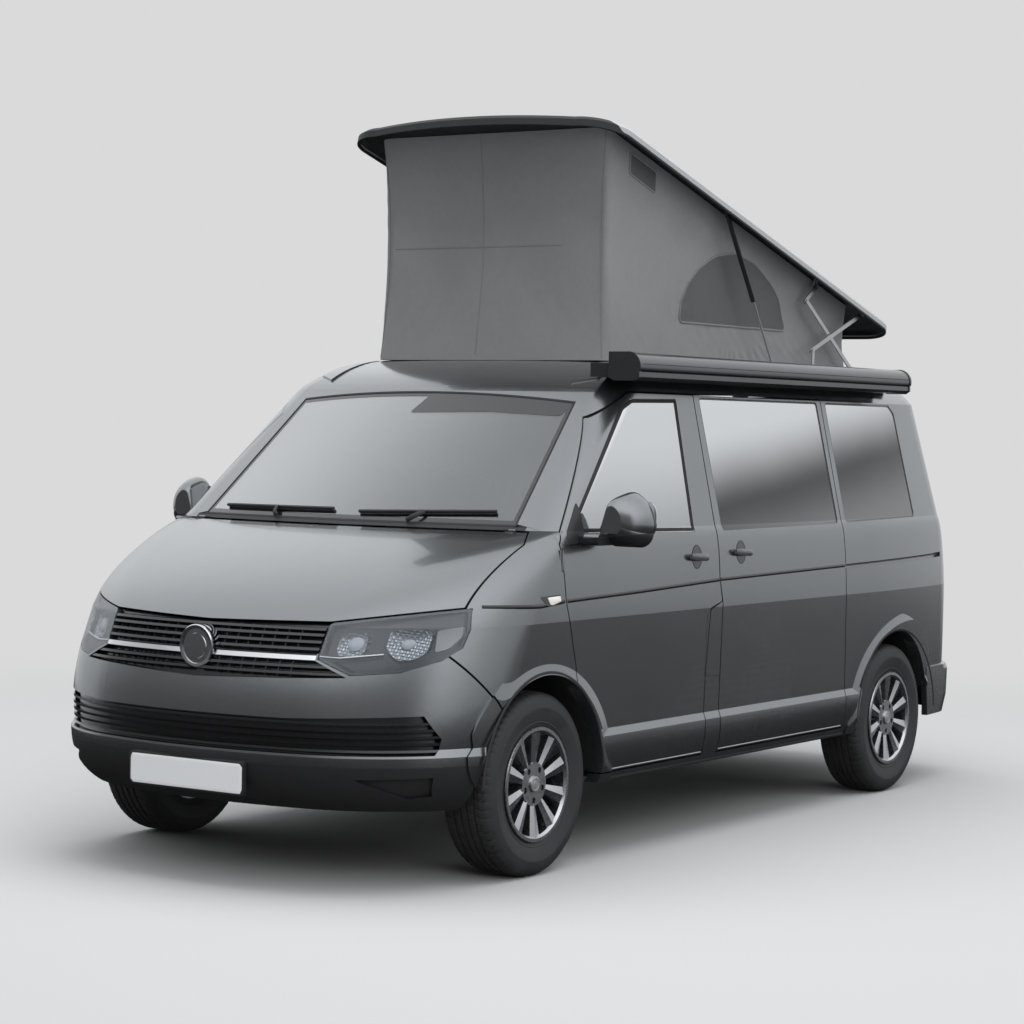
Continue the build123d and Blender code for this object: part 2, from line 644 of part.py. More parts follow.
def shell_section(z, shrink, corner):
    """Plan of the shell at one height: a rectangle with round corners and a bowed front."""
    x0, x1, y = SHELL_REAR_X + shrink, SHELL_FRONT_X - shrink, SHELL_HALF_WIDTH - shrink
    bow = 60
    q = corner * (1 - sqrt(0.5))
    return Wire([
        ThreePointArc((x1, -y + corner, z), (x1 + bow, 0, z), (x1, y - corner, z)),
        ThreePointArc((x1, y - corner, z), (x1 - q, y - q, z), (x1 - corner, y, z)),
        Line((x1 - corner, y, z), (x0 + corner, y, z)),
        ThreePointArc((x0 + corner, y, z), (x0 + q, y - q, z), (x0, y - corner, z)),
        Line((x0, y - corner, z), (x0, -y + corner, z)),
        ThreePointArc((x0, -y + corner, z), (x0 + q, -y + q, z), (x0 + corner, -y, z)),
        Line((x0 + corner, -y, z), (x1 - corner, -y, z)),
        ThreePointArc((x1 - corner, -y, z), (x1 - q, -y + q, z), (x1, -y + corner, z)),
    ])


def shell_form(inset, top):
    """The shell's form below this top: upright rim, rounded shoulder, flat top."""
    low, corner, drop = SHELL_LOW_Z, SHELL_CORNER_R - inset, SHELL_TOP_Z - top
    rows = [(low, 0), (low + 28 - drop, 0), (low + 44 - drop, 13), (top, 48)]
    return Solid.make_loft([shell_section(z, inset + draw_in, corner) for z, draw_in in rows], True)


def roof_shell():
    shell = shell_form(0, SHELL_TOP_Z) - shell_form(SHELL_WALL, SHELL_CEILING_Z)
    half = BAR_THICKNESS / 2
    for pin, near, far, plane in SHELL_EARS:
        x, z = closed(pin)
        plate = box(x - FOOT_HALF, x + FOOT_HALF, near, far, z - 10, SHELL_TOP_Z - SHELL_WALL)
        ear = plate + drum(x, min(near, plane - half), max(far, plane + half), z, PIN_R)
        shell = shell + ear + mirror(ear, about=Plane.XZ)
    return raised(shell)


def bar(a, b, plane):
    """A flat bar from pin a to pin b with round ends, and an eye where it turns on the pin at a."""
    length = hypot(b[0] - a[0], b[1] - a[1])
    y0, y1 = plane - BAR_THICKNESS / 2, plane + BAR_THICKNESS / 2
    angle = degrees(atan2(b[1] - a[1], b[0] - a[0]))
    shape = box(0, length, y0, y1, -BAR_WIDTH / 2, BAR_WIDTH / 2)
    shape = shape + drum(0, y0, y1, 0, BAR_WIDTH / 2) + drum(length, y0, y1, 0, BAR_WIDTH / 2)
    shape = shape - drum(0, y0, y1, 0, PIN_R + SEAT)
    return Pos(a[0], 0, a[1]) * Rot(0, -angle, 0) * shape


def crossing():
    """Where the long bar and the cross bar pass each other."""
    (ax, az), (bx, bz) = PIN_BASE, PIN_ELBOW
    (cx, cz), (dx, dz) = PIN_SHELL_REAR, PIN_KNEE
    det = (bx - ax) * (dz - cz) - (bz - az) * (dx - cx)
    t = ((cx - ax) * (dz - cz) - (cz - az) * (dx - cx)) / det
    return ax + t * (bx - ax), az + t * (bz - az)


def long_bars():
    x, z = crossing()
    y = PLANE_LONG_BAR + BAR_THICKNESS / 2
    return both(bar(PIN_BASE, PIN_ELBOW, PLANE_LONG_BAR)
                + drum(x, y - 1, PLANE_CROSS_BAR - BAR_THICKNESS / 2 - SEAT, z, PIN_R))


def cross_bars():
    return both(bar(PIN_SHELL_REAR, PIN_KNEE, PLANE_CROSS_BAR))


def upper_links():
    y = PLANE_UPPER_LINK + BAR_THICKNESS / 2
    pin = drum(PIN_ELBOW[0], y - 1, PLANE_LONG_BAR - BAR_THICKNESS / 2 - SEAT, PIN_ELBOW[1], PIN_R)
    return both(bar(PIN_SHELL_FRONT, PIN_ELBOW, PLANE_UPPER_LINK) + pin)


def lower_links():
    y = PLANE_LOWER_LINK - BAR_THICKNESS / 2
    pin = drum(PIN_KNEE[0], PLANE_CROSS_BAR + BAR_THICKNESS / 2 + SEAT, y + 1, PIN_KNEE[1], PIN_R)
    return both(bar(PIN_FOOT, PIN_KNEE, PLANE_LOWER_LINK) + pin)


def strut_frame():
    """Length and angle of the gas strut in the raised pose."""
    dx, dz = STRUT_FOOT[0] - STRUT_TOP[0], STRUT_FOOT[1] - STRUT_TOP[1]
    return hypot(dx, dz), degrees(atan2(dz, dx))


def along_strut(shape):
    """Place a shape drawn along +X from the strut's upper eye."""
    return Pos(STRUT_TOP[0], PLANE_STRUT, STRUT_TOP[1]) * Rot(0, -strut_frame()[1], 0) * shape


def rod_x(x0, x1, r):
    return Pos((x0 + x1) / 2, 0, 0) * Rot(0, 90, 0) * Cylinder(r, x1 - x0)


def strut_tubes():
    tube = rod_x(14, STRUT_TUBE_LENGTH, STRUT_TUBE_R) - rod_x(60, STRUT_TUBE_LENGTH, STRUT_ROD_R + SEAT)
    eye = drum(0, -4, 4, 0, 12) - drum(0, -4, 4, 0, PIN_R + SEAT)
    neck = box(8, 20, -4, 4, -6, 6)
    return both(along_strut(tube + eye + (neck - drum(0, -4, 4, 0, PIN_R + SEAT))))


def strut_rods():
    length = strut_frame()[0]
    rod = rod_x(STRUT_TUBE_LENGTH - 70, length - 6, STRUT_ROD_R)
    eye = drum(length, -4, 5.2, 0, 12)
    return both(along_strut(rod + eye))


def linkage_feet():
    """Feet of the linkage, bolted on the roof: two with pins, and a plate beside the strut's open eye."""
    top = SEAT + BAR_WIDTH / 2
    feet = []
    for pin, y0, y1, plane in LINKAGE_FEET:
        x, z = pin
        plate = box(x - FOOT_HALF, x + FOOT_HALF, y0, y1, FOOT_LOW_Z, z + top)
        flange = box(x - FOOT_HALF - 10, x + FOOT_HALF + 10, y0 - 6, y1 + 6, FOOT_LOW_Z, BODY_TOP_Z + 4)
        feet.append(plate + flange)
        if plane:
            half = BAR_THICKNESS / 2
            feet[-1] = feet[-1] + drum(x, min(y0, plane - half), max(y1, plane + half), z, PIN_R)
    seat = Pos(0, 0, SEAT) * form(-SEAT, CANT_Z)
    return both(group(*[foot - seat for foot in feet]))


def roof_humps():
    """Raised pads on the roof's front corners, beside the front edge of the lifting shell."""
    (x0, x1), (y0, y1) = HUMP_X, HUMP_Y
    outline = [(x0, y0), (x0, y1), (x1 - 60, y1 - 10), (x1, y0 + 30)]
    zone = block(outline, "plan", ROOF_SEAM_Z + 12, HUMP_TOP_Z)
    return zone & (form(-HUMP_PROUD, CANT_Z) - form(ROOF_THICKNESS / 2, CANT_Z))


def roof_with_humps():
    hump = roof_humps()
    return roof_panel() + hump + mirror(hump, about=Plane.XZ)


def canvas():
    """Tent wall: a closed sleeve between the roof panel and the raised shell, open at both ends."""
    def wedge(inset, low, high):
        x0, x1, y = CANVAS_REAR_X + inset, CANVAS_FRONT_X - inset, CANVAS_HALF_WIDTH - inset
        walls = box(x0, x1, -y, y, low, 3200)
        lid_z = SHELL_CEILING_Z - SEAT + high
        lid = raised(box(SHELL_REAR_X - 200, SHELL_FRONT_X + 400, -y - 50, y + 50, 1000, lid_z))
        return walls & lid
    return wedge(0, BODY_TOP_Z + SEAT, 0) - wedge(CANVAS_THICKNESS, BODY_TOP_Z - ROOF_THICKNESS, 50)


# ---------------------------------------------------------------- awning
def awning_cassette():
    """Housing with a rounded top, a step line above the lead bar, and a cap at each end."""
    x0, x1, y0, y1, z0, z1 = AWNING
    line = z0 + AWNING_LEAD
    case = make_face([
        Line((y0, z0 + 12), (y0 + 26, z0)), Line((y0 + 26, z0), (y1 - 22, z0)),
        Line((y1 - 22, z0), (y1 - 4, z0 + 12)), Line((y1 - 4, z0 + 12), (y1 - 4, line - 3)),
        Line((y1 - 4, line - 3), (y1 - 10, line)), Line((y1 - 10, line), (y1, line + 5)),
        ThreePointArc((y1, line + 5), (y1 - 14, z1 - 16), (y1 - 62, z1)),
        Line((y1 - 62, z1), (y0, z1)), Line((y0, z1), (y0, z0 + 12)),
    ])
    plane = Plane(origin=(x0, 0, 0), x_dir=(0, 1, 0), z_dir=(1, 0, 0))
    outside = Pos(y0 + FAR / 2, z0) * Rectangle(FAR, FAR)
    cap = offset(case, amount=AWNING_CAP_PROUD, kind=Kind.INTERSECTION) & outside
    end = extrude(plane * cap, amount=AWNING_CAP)
    return extrude(plane * case, amount=x1 - x0) + end + Pos(x1 - x0 - AWNING_CAP, 0, 0) * end


def awning_rail():
    x0, x1, y0, y1, z0, z1 = AWNING
    rail = box(x0 - 120, x1 - 40, 700, y0 - SEAT, z0 + 12, z1 - 40)
    return rail - form(-SEAT)


# ---------------------------------------------------------------- floor, housings, axles
def inside(x0, x1, z0, z1):
    """A slab that fills the body between two stations and two heights."""
    return CABIN & box(x0, x1, -FAR, FAR, z0, z1)


def floor_pan():
    slab = inside(-2250, 1460, FLOOR_Z - FLOOR_THICKNESS, FLOOR_Z)
    slab = slab + inside(-1000, 1100, SILL_Z + 15, FLOOR_Z - FLOOR_THICKNESS + 5) - box(
        -FAR, FAR, -780, 780, 0, FLOOR_Z - FLOOR_THICKNESS)
    grow = LINER_THICKNESS + SEAT
    return cut(slab, arches(FRONT_TUB_Y - grow, grow)[:2] + arches(REAR_TUB_Y - grow, grow)[2:])


def tub(x, inner_y):
    """A wheel housing: an arched liner with an inner wall."""
    outer = arch(x, inner_y - LINER_THICKNESS, ARCH_R + LINER_THICKNESS)
    shell = outer - arch(x, inner_y)
    return shell & box(-FAR, FAR, 0, FAR, TUB_LOW_Z, FAR) & CABIN


def wheel_tubs():
    return group(both(tub(FRONT_AXLE_X, FRONT_TUB_Y)), both(tub(REAR_AXLE_X, REAR_TUB_Y)))


def bulkhead():
    plate = inside(1462, 1482, FLOOR_Z - FLOOR_THICKNESS, 1225)
    grow = LINER_THICKNESS + SEAT
    return cut(plate, arches(FRONT_TUB_Y - grow, grow)[:2])


def engine_block():
    return fillet(box(1600, 2120, -330, 330, ENGINE_LOW_Z, 860).edges(), 30)


def upright_rod(y, z0, z1, r):
    """Cylinder along Z in the plane of the front axle."""
    return Pos(FRONT_AXLE_X, y, (z0 + z1) / 2) * Cylinder(r, z1 - z0)


def front_axle():
    frame = box(1400, 1690, -330, 330, 240, 300)
    for s in (1, -1):
        eye = ARM_EYE_R
        root, tip = s * 325, s * KINGPIN_Y
        plan = [(1430, root), (1660, root), (FRONT_AXLE_X + eye, tip), (FRONT_AXLE_X - eye, tip)]
        arm = block(plan, "plan", ARM_LOW_Z, ARM_TOP_Z)
        arm = arm + upright_rod(s * KINGPIN_Y, ARM_LOW_Z, ARM_TOP_Z, eye)
        arm = arm - upright_rod(s * KINGPIN_Y, ARM_LOW_Z, ARM_TOP_Z, KINGPIN_R + SEAT)
        top = TYRE_R + sqrt(ARCH_R ** 2 - LEG_R ** 2) - SEAT
        leg = upright_rod(s * 628, 240, top, LEG_R)
        pad = box(1610, 1680, s * 230 - 30, s * 230 + 30, 290, ENGINE_LOW_Z - SEAT)
        y0, y1 = sorted((s * 590, s * 665))
        foot = box(FRONT_AXLE_X - 40, FRONT_AXLE_X + 40, y0, y1, 240, 280)
        frame = frame + arm + leg + foot + pad
    return frame


def knuckle():
    """Left hub carrier: upright on the lower arm, stub axle, brake caliper."""
    centre = TRACK / 2
    upright = box(FRONT_AXLE_X - 38, FRONT_AXLE_X + 38, 690, 730, ARM_TOP_Z + SEAT, 440)
    lug = box(FRONT_AXLE_X - 18, FRONT_AXLE_X + 18, 729, KINGPIN_Y + 14, ARM_TOP_Z + SEAT, 300)
    kingpin = upright_rod(KINGPIN_Y, ARM_LOW_Z, ARM_TOP_Z + 10, KINGPIN_R)
    stub = drum(FRONT_AXLE_X, 728, centre + STUB_LENGTH, TYRE_R, STUB_R)
    caliper = box(FRONT_AXLE_X + 95, FRONT_AXLE_X + 150, 700, 770, 300, 400)
    link = box(FRONT_AXLE_X + 30, FRONT_AXLE_X + 100, 700, 728, 320, 380)
    return upright + lug + kingpin + stub + link + caliper


def rear_axle():
    centre = TRACK / 2
    beam = drum(REAR_AXLE_X + 230, -600, 600, 300, 38)
    axle = beam
    for s in (1, -1):
        y0, y1 = sorted((s * (REAR_TUB_Y + 10), s * (REAR_TUB_Y + 42)))
        top = FLOOR_Z - FLOOR_THICKNESS - SEAT
        spring = Pos(REAR_AXLE_X + 230, s * 430, (300 + top) / 2) * Cylinder(45, top - 300)
        arm = box(REAR_AXLE_X - 45, REAR_AXLE_X + 300, y0, y1, 262, 400)
        z0, z1 = sorted((s * 598, s * (centre + STUB_LENGTH)))
        stub = drum(REAR_AXLE_X, z0, z1, TYRE_R, STUB_R)
        axle = axle + arm + stub + spring
    return axle


# ---------------------------------------------------------------- wheels
def tyre():
    """Tyre about Y at the origin."""
    half = TYRE_WIDTH / 2
    tread = half - 18
    outline = [
        Line((BEAD_R, -RIM_WIDTH / 2), (RIM_FLANGE_R + 6, -RIM_WIDTH / 2 - 6)),
        ThreePointArc((RIM_FLANGE_R + 6, -RIM_WIDTH / 2 - 6), (TYRE_R - 62, -half), (TYRE_R - 14, -tread - 6)),
        Line((TYRE_R - 14, -tread - 6), (TYRE_R, -tread + 14)),
        Line((TYRE_R, -tread + 14), (TYRE_R, tread - 14)),
        Line((TYRE_R, tread - 14), (TYRE_R - 14, tread + 6)),
        ThreePointArc((TYRE_R - 14, tread + 6), (TYRE_R - 62, half), (RIM_FLANGE_R + 6, RIM_WIDTH / 2 + 6)),
        Line((RIM_FLANGE_R + 6, RIM_WIDTH / 2 + 6), (BEAD_R, RIM_WIDTH / 2)),
        Line((BEAD_R, RIM_WIDTH / 2), (BEAD_R, RIM_WIDTH / 2 - 18)),
        Line((BEAD_R, RIM_WIDTH / 2 - 18), (TYRE_R - 18, RIM_WIDTH / 2 - 12)),
        Line((TYRE_R - 18, RIM_WIDTH / 2 - 12), (TYRE_R - 18, -RIM_WIDTH / 2 + 12)),
        Line((TYRE_R - 18, -RIM_WIDTH / 2 + 12), (BEAD_R, -RIM_WIDTH / 2 + 18)),
        Line((BEAD_R, -RIM_WIDTH / 2 + 18), (BEAD_R, -RIM_WIDTH / 2)),
    ]
    return revolve(make_face(outline), Axis.Y)


def spoke():
    """One spoke along +Z: narrow at the hub, wide at the rim, with a ridge down its middle."""
    wires = []
    for r, width, back_y, face_y in SPOKE_ENDS:
        half = width / 2
        outline = [(-half, back_y), (half, back_y), (half, face_y), (0, face_y + SPOKE_RIDGE), (-half, face_y)]
        wires.append(Wire.make_polygon([(x, y, r) for x, y in outline], close=True))
    return Solid.make_loft(wires, True)


def rim():
    """Left-hand rim about Y at the origin, outer face towards +Y."""
    half = RIM_WIDTH / 2
    r = BEAD_R - SEAT
    inner = r - BARREL_THICKNESS
    barrel = [(inner, -half - 4), (r, -half - 4), (r, half + 4), (r + 10, half + 7), (r + 8, half + 12),
              (r - 4, half + 12), (inner, half + 2)]
    ring = revolve(make_face(Polyline(*barrel, close=True).edges()), Axis.Y)
    hub = drum(0, HUB_BACK_Y, HUB_FACE_Y, 0, HUB_R)
    wheel = ring + hub + drum(0, HUB_FACE_Y - 1, HUB_FACE_Y + 6, 0, HUB_CAP_R)
    one = spoke()
    for i in range(SPOKES):
        wheel = wheel + Rot(0, i * 360 / SPOKES, 0) * one
    for i in range(BOLTS):
        a = radians(90 + (i + 0.5) * 360 / BOLTS)
        x, z = BOLT_CIRCLE_R * cos(a), BOLT_CIRCLE_R * sin(a)
        wheel = wheel - drum(x, HUB_FACE_Y - BOLT_PIT_DEPTH, HUB_FACE_Y + SPOKE_RIDGE, z, BOLT_PIT_R)
    return wheel - drum(0, HUB_BACK_Y, STUB_LENGTH + SEAT, 0, STUB_R + RUNNING)


def place_wheel(shape, x, left):
    turn = 0 if left else 180
    y = TRACK / 2 if left else -TRACK / 2
    return Pos(x, y, TYRE_R) * Rot(0, 0, turn) * shape


# ---------------------------------------------------------------- mirrors
def mirror_outline(x, scale, shift):
    """Front view of the housing at one station: flat foot, round outer side, top that falls to the door."""
    cy, cz = MIRROR_CENTRE

    def at(y, z):
        return x, cy + shift + y * scale, cz + z * scale

    return Wire([
        Line(at(-62, -102), at(40, -102)),
        ThreePointArc(at(40, -102), at(69, -84), at(79, -50)),
        ThreePointArc(at(79, -50), at(68, 44), at(24, 92)),
        ThreePointArc(at(24, 92), at(-14, 102), at(-48, 78)),
        Line(at(-48, 78), at(-84, -40)),
        ThreePointArc(at(-84, -40), at(-86, -84), at(-62, -102)),
    ])


def door_mirror():
    """Left door mirror: rounded housing on an arm that springs from the door's front corner."""
    housing = Solid.make_loft([mirror_outline(*row) for row in MIRROR_ROWS])
    arm = fillet(box(1200, 1334, 900, 1022, 1214, 1256).edges().filter_by(Axis.Y), 14)
    foot = block(MIRROR_FOOT, "side", 0, 960)
    return housing + (arm - form(-SEAT)) + (foot & (form(-MIRROR_FOOT_THICKNESS, high=CANT_Z) - form(-SEAT)))


# ---------------------------------------------------------------- inside
def dashboard():
    return block(DASH_PROFILE, "side", -FAR, FAR) & form(WALL + 60)


def steering_wheel():
    ring = Torus(185, 14)
    spokes = Pos(0, 0, 0) * Box(360, 40, 14)
    hub = Cylinder(48, 40)
    column = Pos(0, 0, 120) * Cylinder(20, 240)
    wheel = Pos(985, -420, 1100) * Rot(0, 115, 0) * (ring + spokes + hub + column)
    return wheel - block(DASH_PROFILE, "side", -FAR, FAR, SEAT)


def seat(x, y):
    base = fillet(box(x, x + 500, y - 240, y + 240, 760, 900).edges(), 30)
    plinth = box(x + 60, x + 440, y - 190, y + 190, FLOOR_Z, 765)
    back = fillet(box(-70, 60, y - 235, y + 235, 0, 600).edges(), 28)
    back = Pos(x + 20, 0, 860) * Rot(0, -14, 0) * back
    head = fillet(box(-45, 45, y - 120, y + 120, 630, 800).edges(), 25)
    post = box(-12, 12, y - 60, y + 60, 590, 640)
    head = Pos(x + 20, 0, 860) * Rot(0, -14, 0) * (head + post)
    return base + plinth + back + head


def front_seats():
    return group(seat(380, 420), seat(380, -420))


def rear_bench():
    base = box(-1560, -1010, -460, 540, FLOOR_Z, 900)
    back = Pos(-1540, 40, 880) * Rot(0, -12, 0) * box(-80, 60, -500, 500, 0, 560)
    return base + back


def kitchen_units():
    low = inside(-1000, 150, FLOOR_Z, 1180) & box(-FAR, FAR, -FAR, -470, 0, FAR)
    return low


# ---------------------------------------------------------------- nodes
def mirror_y(shape):
    return mirror(shape, about=Plane.XZ)


DOOR = front_door()
DOOR_GLASS = pane(DOOR_WINDOW, "side", 0, FAR, 12)
KNUCKLE = knuckle()
MIRROR = door_mirror()
MIDDLE_GLASS = pane(MIDDLE_WINDOW, "side", 0, FAR, 20)
REAR_GLASS = pane(REAR_WINDOW, "side", 0, FAR, 20)

NODES = {
    "side_left": side_left(),
    "side_right": side_right(),
    "roof_panel": roof_with_humps(),
    "linkage_feet": linkage_feet(),
    "cowl": cowl(),
    "front_wings": both(front_wing()),
    "front_bumper": front_bumper(),
    "front_valance": front_valance(),
    "upper_grille": upper_grille(),
    "grille_trim": grille_trim(),
    "lower_grille": lower_grille(),
    "headlamps": headlamps(),
    "windscreen": windscreen(),
    "side_windows": group(both(REAR_GLASS), both(MIDDLE_GLASS)),
    "sliding_door": sliding_door(),
    "bonnet": bonnet(),
    "door_left": DOOR,
    "door_glass_left": DOOR_GLASS,
    "mirror_left": MIRROR,
    "door_right": mirror_y(DOOR),
    "door_glass_right": mirror_y(DOOR_GLASS),
    "mirror_right": mirror_y(MIRROR),
    "tailgate": tailgate(),
    "tailgate_glass": pane(TAILGATE_WINDOW, "front", -FAR, -1900, 20),
    "rear_bumper": rear_bumper(),
    "tail_lamps": tail_lamps(),
    "roof_shell": roof_shell(),
    "canvas": canvas(),
    "strut_tubes": strut_tubes(),
    "strut_rods": strut_rods(),
    "long_bars": long_bars(),
    "cross_bars": cross_bars(),
    "upper_links": upper_links(),
    "lower_links": lower_links(),
    "awning_cassette": awning_cassette(),
    "awning_rail": awning_rail(),
    "floor_pan": floor_pan(),
    "wheel_tubs": wheel_tubs(),
    "bulkhead": bulkhead(),
    "dashboard": dashboard(),
    "steering_wheel": steering_wheel(),
    "front_seats": front_seats(),
    "rear_bench": rear_bench(),
    "kitchen_units": kitchen_units(),
    "engine_block": engine_block(),
    "front_axle": front_axle(),
    "knuckle_left": KNUCKLE,
    "knuckle_right": mirror_y(KNUCKLE),
    "rear_axle": rear_axle(),
}
TYRE = tyre()
RIM = rim()
for name, x, left in (("fl", FRONT_AXLE_X, True), ("fr", FRONT_AXLE_X, False),
                      ("rl", REAR_AXLE_X, True), ("rr", REAR_AXLE_X, False)):
    NODES[f"tyre_{name}"] = place_wheel(TYRE, x, left)
    NODES[f"rim_{name}"] = place_wheel(RIM, x, left)

os.makedirs("parts", exist_ok=True)
for name, shape in NODES.items():
    export_step(shape, f"parts/{name}.step")
    print(name, len(shape.solids()), round(shape.volume / 1e6, 2))
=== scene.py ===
# %% [markdown]
# # A camper van with a lifting roof
# The solids of the van come from its CAD model. This lesson gives them their finishes and adds what is
# too fine for solids: tent cloth, tyre tread, lamps, seals, handles, wipers and trim.

# %% Load the frame
import json
import bmesh
import bpy
import numpy as np
from mathutils import Matrix


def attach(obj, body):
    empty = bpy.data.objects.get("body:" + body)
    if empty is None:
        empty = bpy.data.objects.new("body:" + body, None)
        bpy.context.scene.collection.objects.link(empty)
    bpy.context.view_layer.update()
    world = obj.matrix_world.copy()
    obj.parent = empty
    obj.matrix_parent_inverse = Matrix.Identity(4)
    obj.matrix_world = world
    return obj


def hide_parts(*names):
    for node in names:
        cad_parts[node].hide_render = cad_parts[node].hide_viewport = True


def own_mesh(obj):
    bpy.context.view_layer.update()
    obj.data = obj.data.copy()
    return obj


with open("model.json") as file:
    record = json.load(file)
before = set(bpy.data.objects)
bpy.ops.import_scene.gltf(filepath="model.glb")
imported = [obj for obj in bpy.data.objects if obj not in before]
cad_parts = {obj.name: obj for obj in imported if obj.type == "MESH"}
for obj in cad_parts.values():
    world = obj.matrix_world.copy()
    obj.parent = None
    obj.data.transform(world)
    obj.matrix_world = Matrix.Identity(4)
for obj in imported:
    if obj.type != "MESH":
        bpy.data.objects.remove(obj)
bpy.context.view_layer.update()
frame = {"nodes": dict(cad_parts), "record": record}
nodes = frame["nodes"]
print("pieces in the frame:", len(nodes))

# %% [markdown]
# ## Camera
# The camera stands at chest height, ahead of the van and to its left. Its axes are worked out from the
# way it looks, so its place, its lens, two angles and a small roll are the only numbers.

# %% Camera
CAMERA_AT = [9.61154, 6.07952, 1.64350]
LOOK_TURN, LOOK_RISE, CAMERA_ROLL = np.radians([213.3176, -1.8314, 1.1132])
LENS_MM, SENSOR_MM = 92.24, 36


def camera_axes(turn, rise, roll):
    """Right, up and back. Forward has the turn and rise, right is forward crossed with Z, then both roll."""
    forward = np.array([np.cos(turn) * np.cos(rise), np.sin(turn) * np.cos(rise), np.sin(rise)])
    level = np.cross(forward, [0, 0, 1.0])
    level = level / np.linalg.norm(level)
    upright = np.cross(level, forward)
    right = np.cos(roll) * level + np.sin(roll) * upright
    up = np.cos(roll) * upright - np.sin(roll) * level
    return np.stack([right, up, -forward], 1)


camera = bpy.data.objects.new("camera", bpy.data.cameras.new("camera"))
bpy.context.scene.collection.objects.link(camera)
camera.data.lens = LENS_MM
camera.data.sensor_width = SENSOR_MM
placed = np.eye(4)
placed[:3, :3] = camera_axes(LOOK_TURN, LOOK_RISE, CAMERA_ROLL)
placed[:3, 3] = CAMERA_AT
camera.matrix_world = Matrix(placed.tolist())
bpy.context.scene.camera = camera
print("camera at", CAMERA_AT)

# %% [markdown]
# ## Finishes as expressions
# A material is a web of nodes. Wrapping each output in a small class lets the maths be written as
# Python sums, and one method makes any other node, so a finish reads like a recipe.

# %% Finish and Value


class Value:
    """One output of a node. A sum or product written with it adds a Math node."""

    def __init__(self, finish, socket):
        self.finish = finish
        self.socket = socket

    def math(self, operation, first, second):
        return self.finish.node("ShaderNodeMath", {"operation": operation}, {0: first, 1: second})

    def __add__(self, other):
        return self.math("ADD", self, other)

    def __sub__(self, other):
        return self.math("SUBTRACT", self, other)

    def __rsub__(self, other):
        return self.math("SUBTRACT", other, self)

    def __mul__(self, other):
        return self.math("MULTIPLY", self, other)

    __radd__ = __add__
    __rmul__ = __mul__


class Finish:
    """A material being put together from nodes."""

    def __init__(self, name):
        self.material = bpy.data.materials.new(name)
        self.material.use_nodes = True
        self.tree = self.material.node_tree
        self.tree.nodes.clear()

    def node(self, kind, settings=None, inputs=None, output=0):
        """Makes a node of any kind, sets it up, feeds its sockets and gives one of its outputs."""
        made = self.tree.nodes.new(kind)
        for key, value in (settings or {}).items():
            setattr(made, key, value)
        for key, value in (inputs or {}).items():
            if isinstance(value, Value):
                self.tree.links.new(value.socket, made.inputs[key])
            else:
                made.inputs[key].default_value = value
        return Value(self, made.outputs[output])

    def place(self):
        """The point on the piece, in metres."""
        return self.node("ShaderNodeTexCoord", output="Object")

    def noise(self, scale, detail=2, at=None, stretch=None):
        """Smooth noise from 0 to 1, its blobs 1 / scale metres wide, stretched along an axis if asked."""
        at = at or self.place()
        if stretch:
            at = self.node("ShaderNodeMapping", None, {"Vector": at, "Scale": stretch})
        return self.node("ShaderNodeTexNoise", None, {"Vector": at, "Scale": scale, "Detail": detail})

    def blend(self, share, first, second):
        """The first colour where share is 0, the second where it is 1."""
        inputs = {0: share, 6: (*first, 1) if isinstance(first, tuple) else first}
        inputs[7] = (*second, 1) if isinstance(second, tuple) else second
        return self.node("ShaderNodeMix", {"data_type": "RGBA"}, inputs, output=2)

    def step(self, value, low, high):
        """0 below low, 1 above high, and a smooth rise between."""
        return self.node("ShaderNodeMapRange", {"interpolation_type": "SMOOTHSTEP"},
                         {"Value": value, "From Min": low, "From Max": high})

    def wave(self, value):
        """The sine of a value in radians, from -1 to 1."""
        return self.node("ShaderNodeMath", {"operation": "SINE"}, {0: value})

    def flakes(self, scale):
        """Metal flakes in paint, 1 / scale metres apart: 0 between them and 1 on them."""
        return self.step(self.noise(scale, 1), 0.35, 0.75)

    def edge_on(self):
        """0 where the surface faces the eye, 1 at grazing angles."""
        return self.node("ShaderNodeLayerWeight", None, {"Blend": 0.35}, output="Facing")

    def mix(self, share, first, second):
        """The first shader where share is 0, the second where it is 1."""
        return self.node("ShaderNodeMixShader", None, {0: share, 1: first, 2: second})

    def bump(self, height, depth):
        """A normal tilted as if the surface rose by height times depth metres."""
        return self.node("ShaderNodeBump", None, {"Height": height, "Distance": depth, "Strength": 1.0})

    def axes(self):
        """The three coordinates of the point on the piece, each as a value."""
        split = self.node("ShaderNodeSeparateXYZ", None, {"Vector": self.place()})
        outputs = split.socket.node.outputs
        return [Value(self, outputs[i]) for i in range(3)]

    def coat(self, **sockets):
        """The main shader, with sockets named in words joined by underscores."""
        inputs = {}
        for key, value in sockets.items():
            name = " ".join(word if word == "IOR" else word.capitalize() for word in key.split("_"))
            inputs[name] = (*value, 1) if isinstance(value, tuple) and len(value) == 3 else value
        return self.node("ShaderNodeBsdfPrincipled", None, inputs)

    def surface(self, share, first, second, height, depth, **sockets):
        """Ends the recipe: colour from first to second by share, with a height that dents it by a depth."""
        colour = self.blend(share, first, second)
        return self.done(self.coat(base_color=colour, normal=self.bump(height, depth), **sockets))

    def done(self, shader):
        """Ends the recipe: the shader becomes the surface."""
        out = self.tree.nodes.new("ShaderNodeOutputMaterial")
        self.tree.links.new(shader.socket, out.inputs["Surface"])
        return self.material


# %% [markdown]
# ## Paint
# The body has a graphite metallic paint with a clear coat. Small flakes vary the colour, a faint
# orange peel bends the reflections, and the coat adds a second, sharper gloss over the satin base.

# %% Paint finishes
GRAPHITE = (0.205, 0.216, 0.224), (0.315, 0.328, 0.338)
SATIN_BLACK = (0.012, 0.012, 0.013)


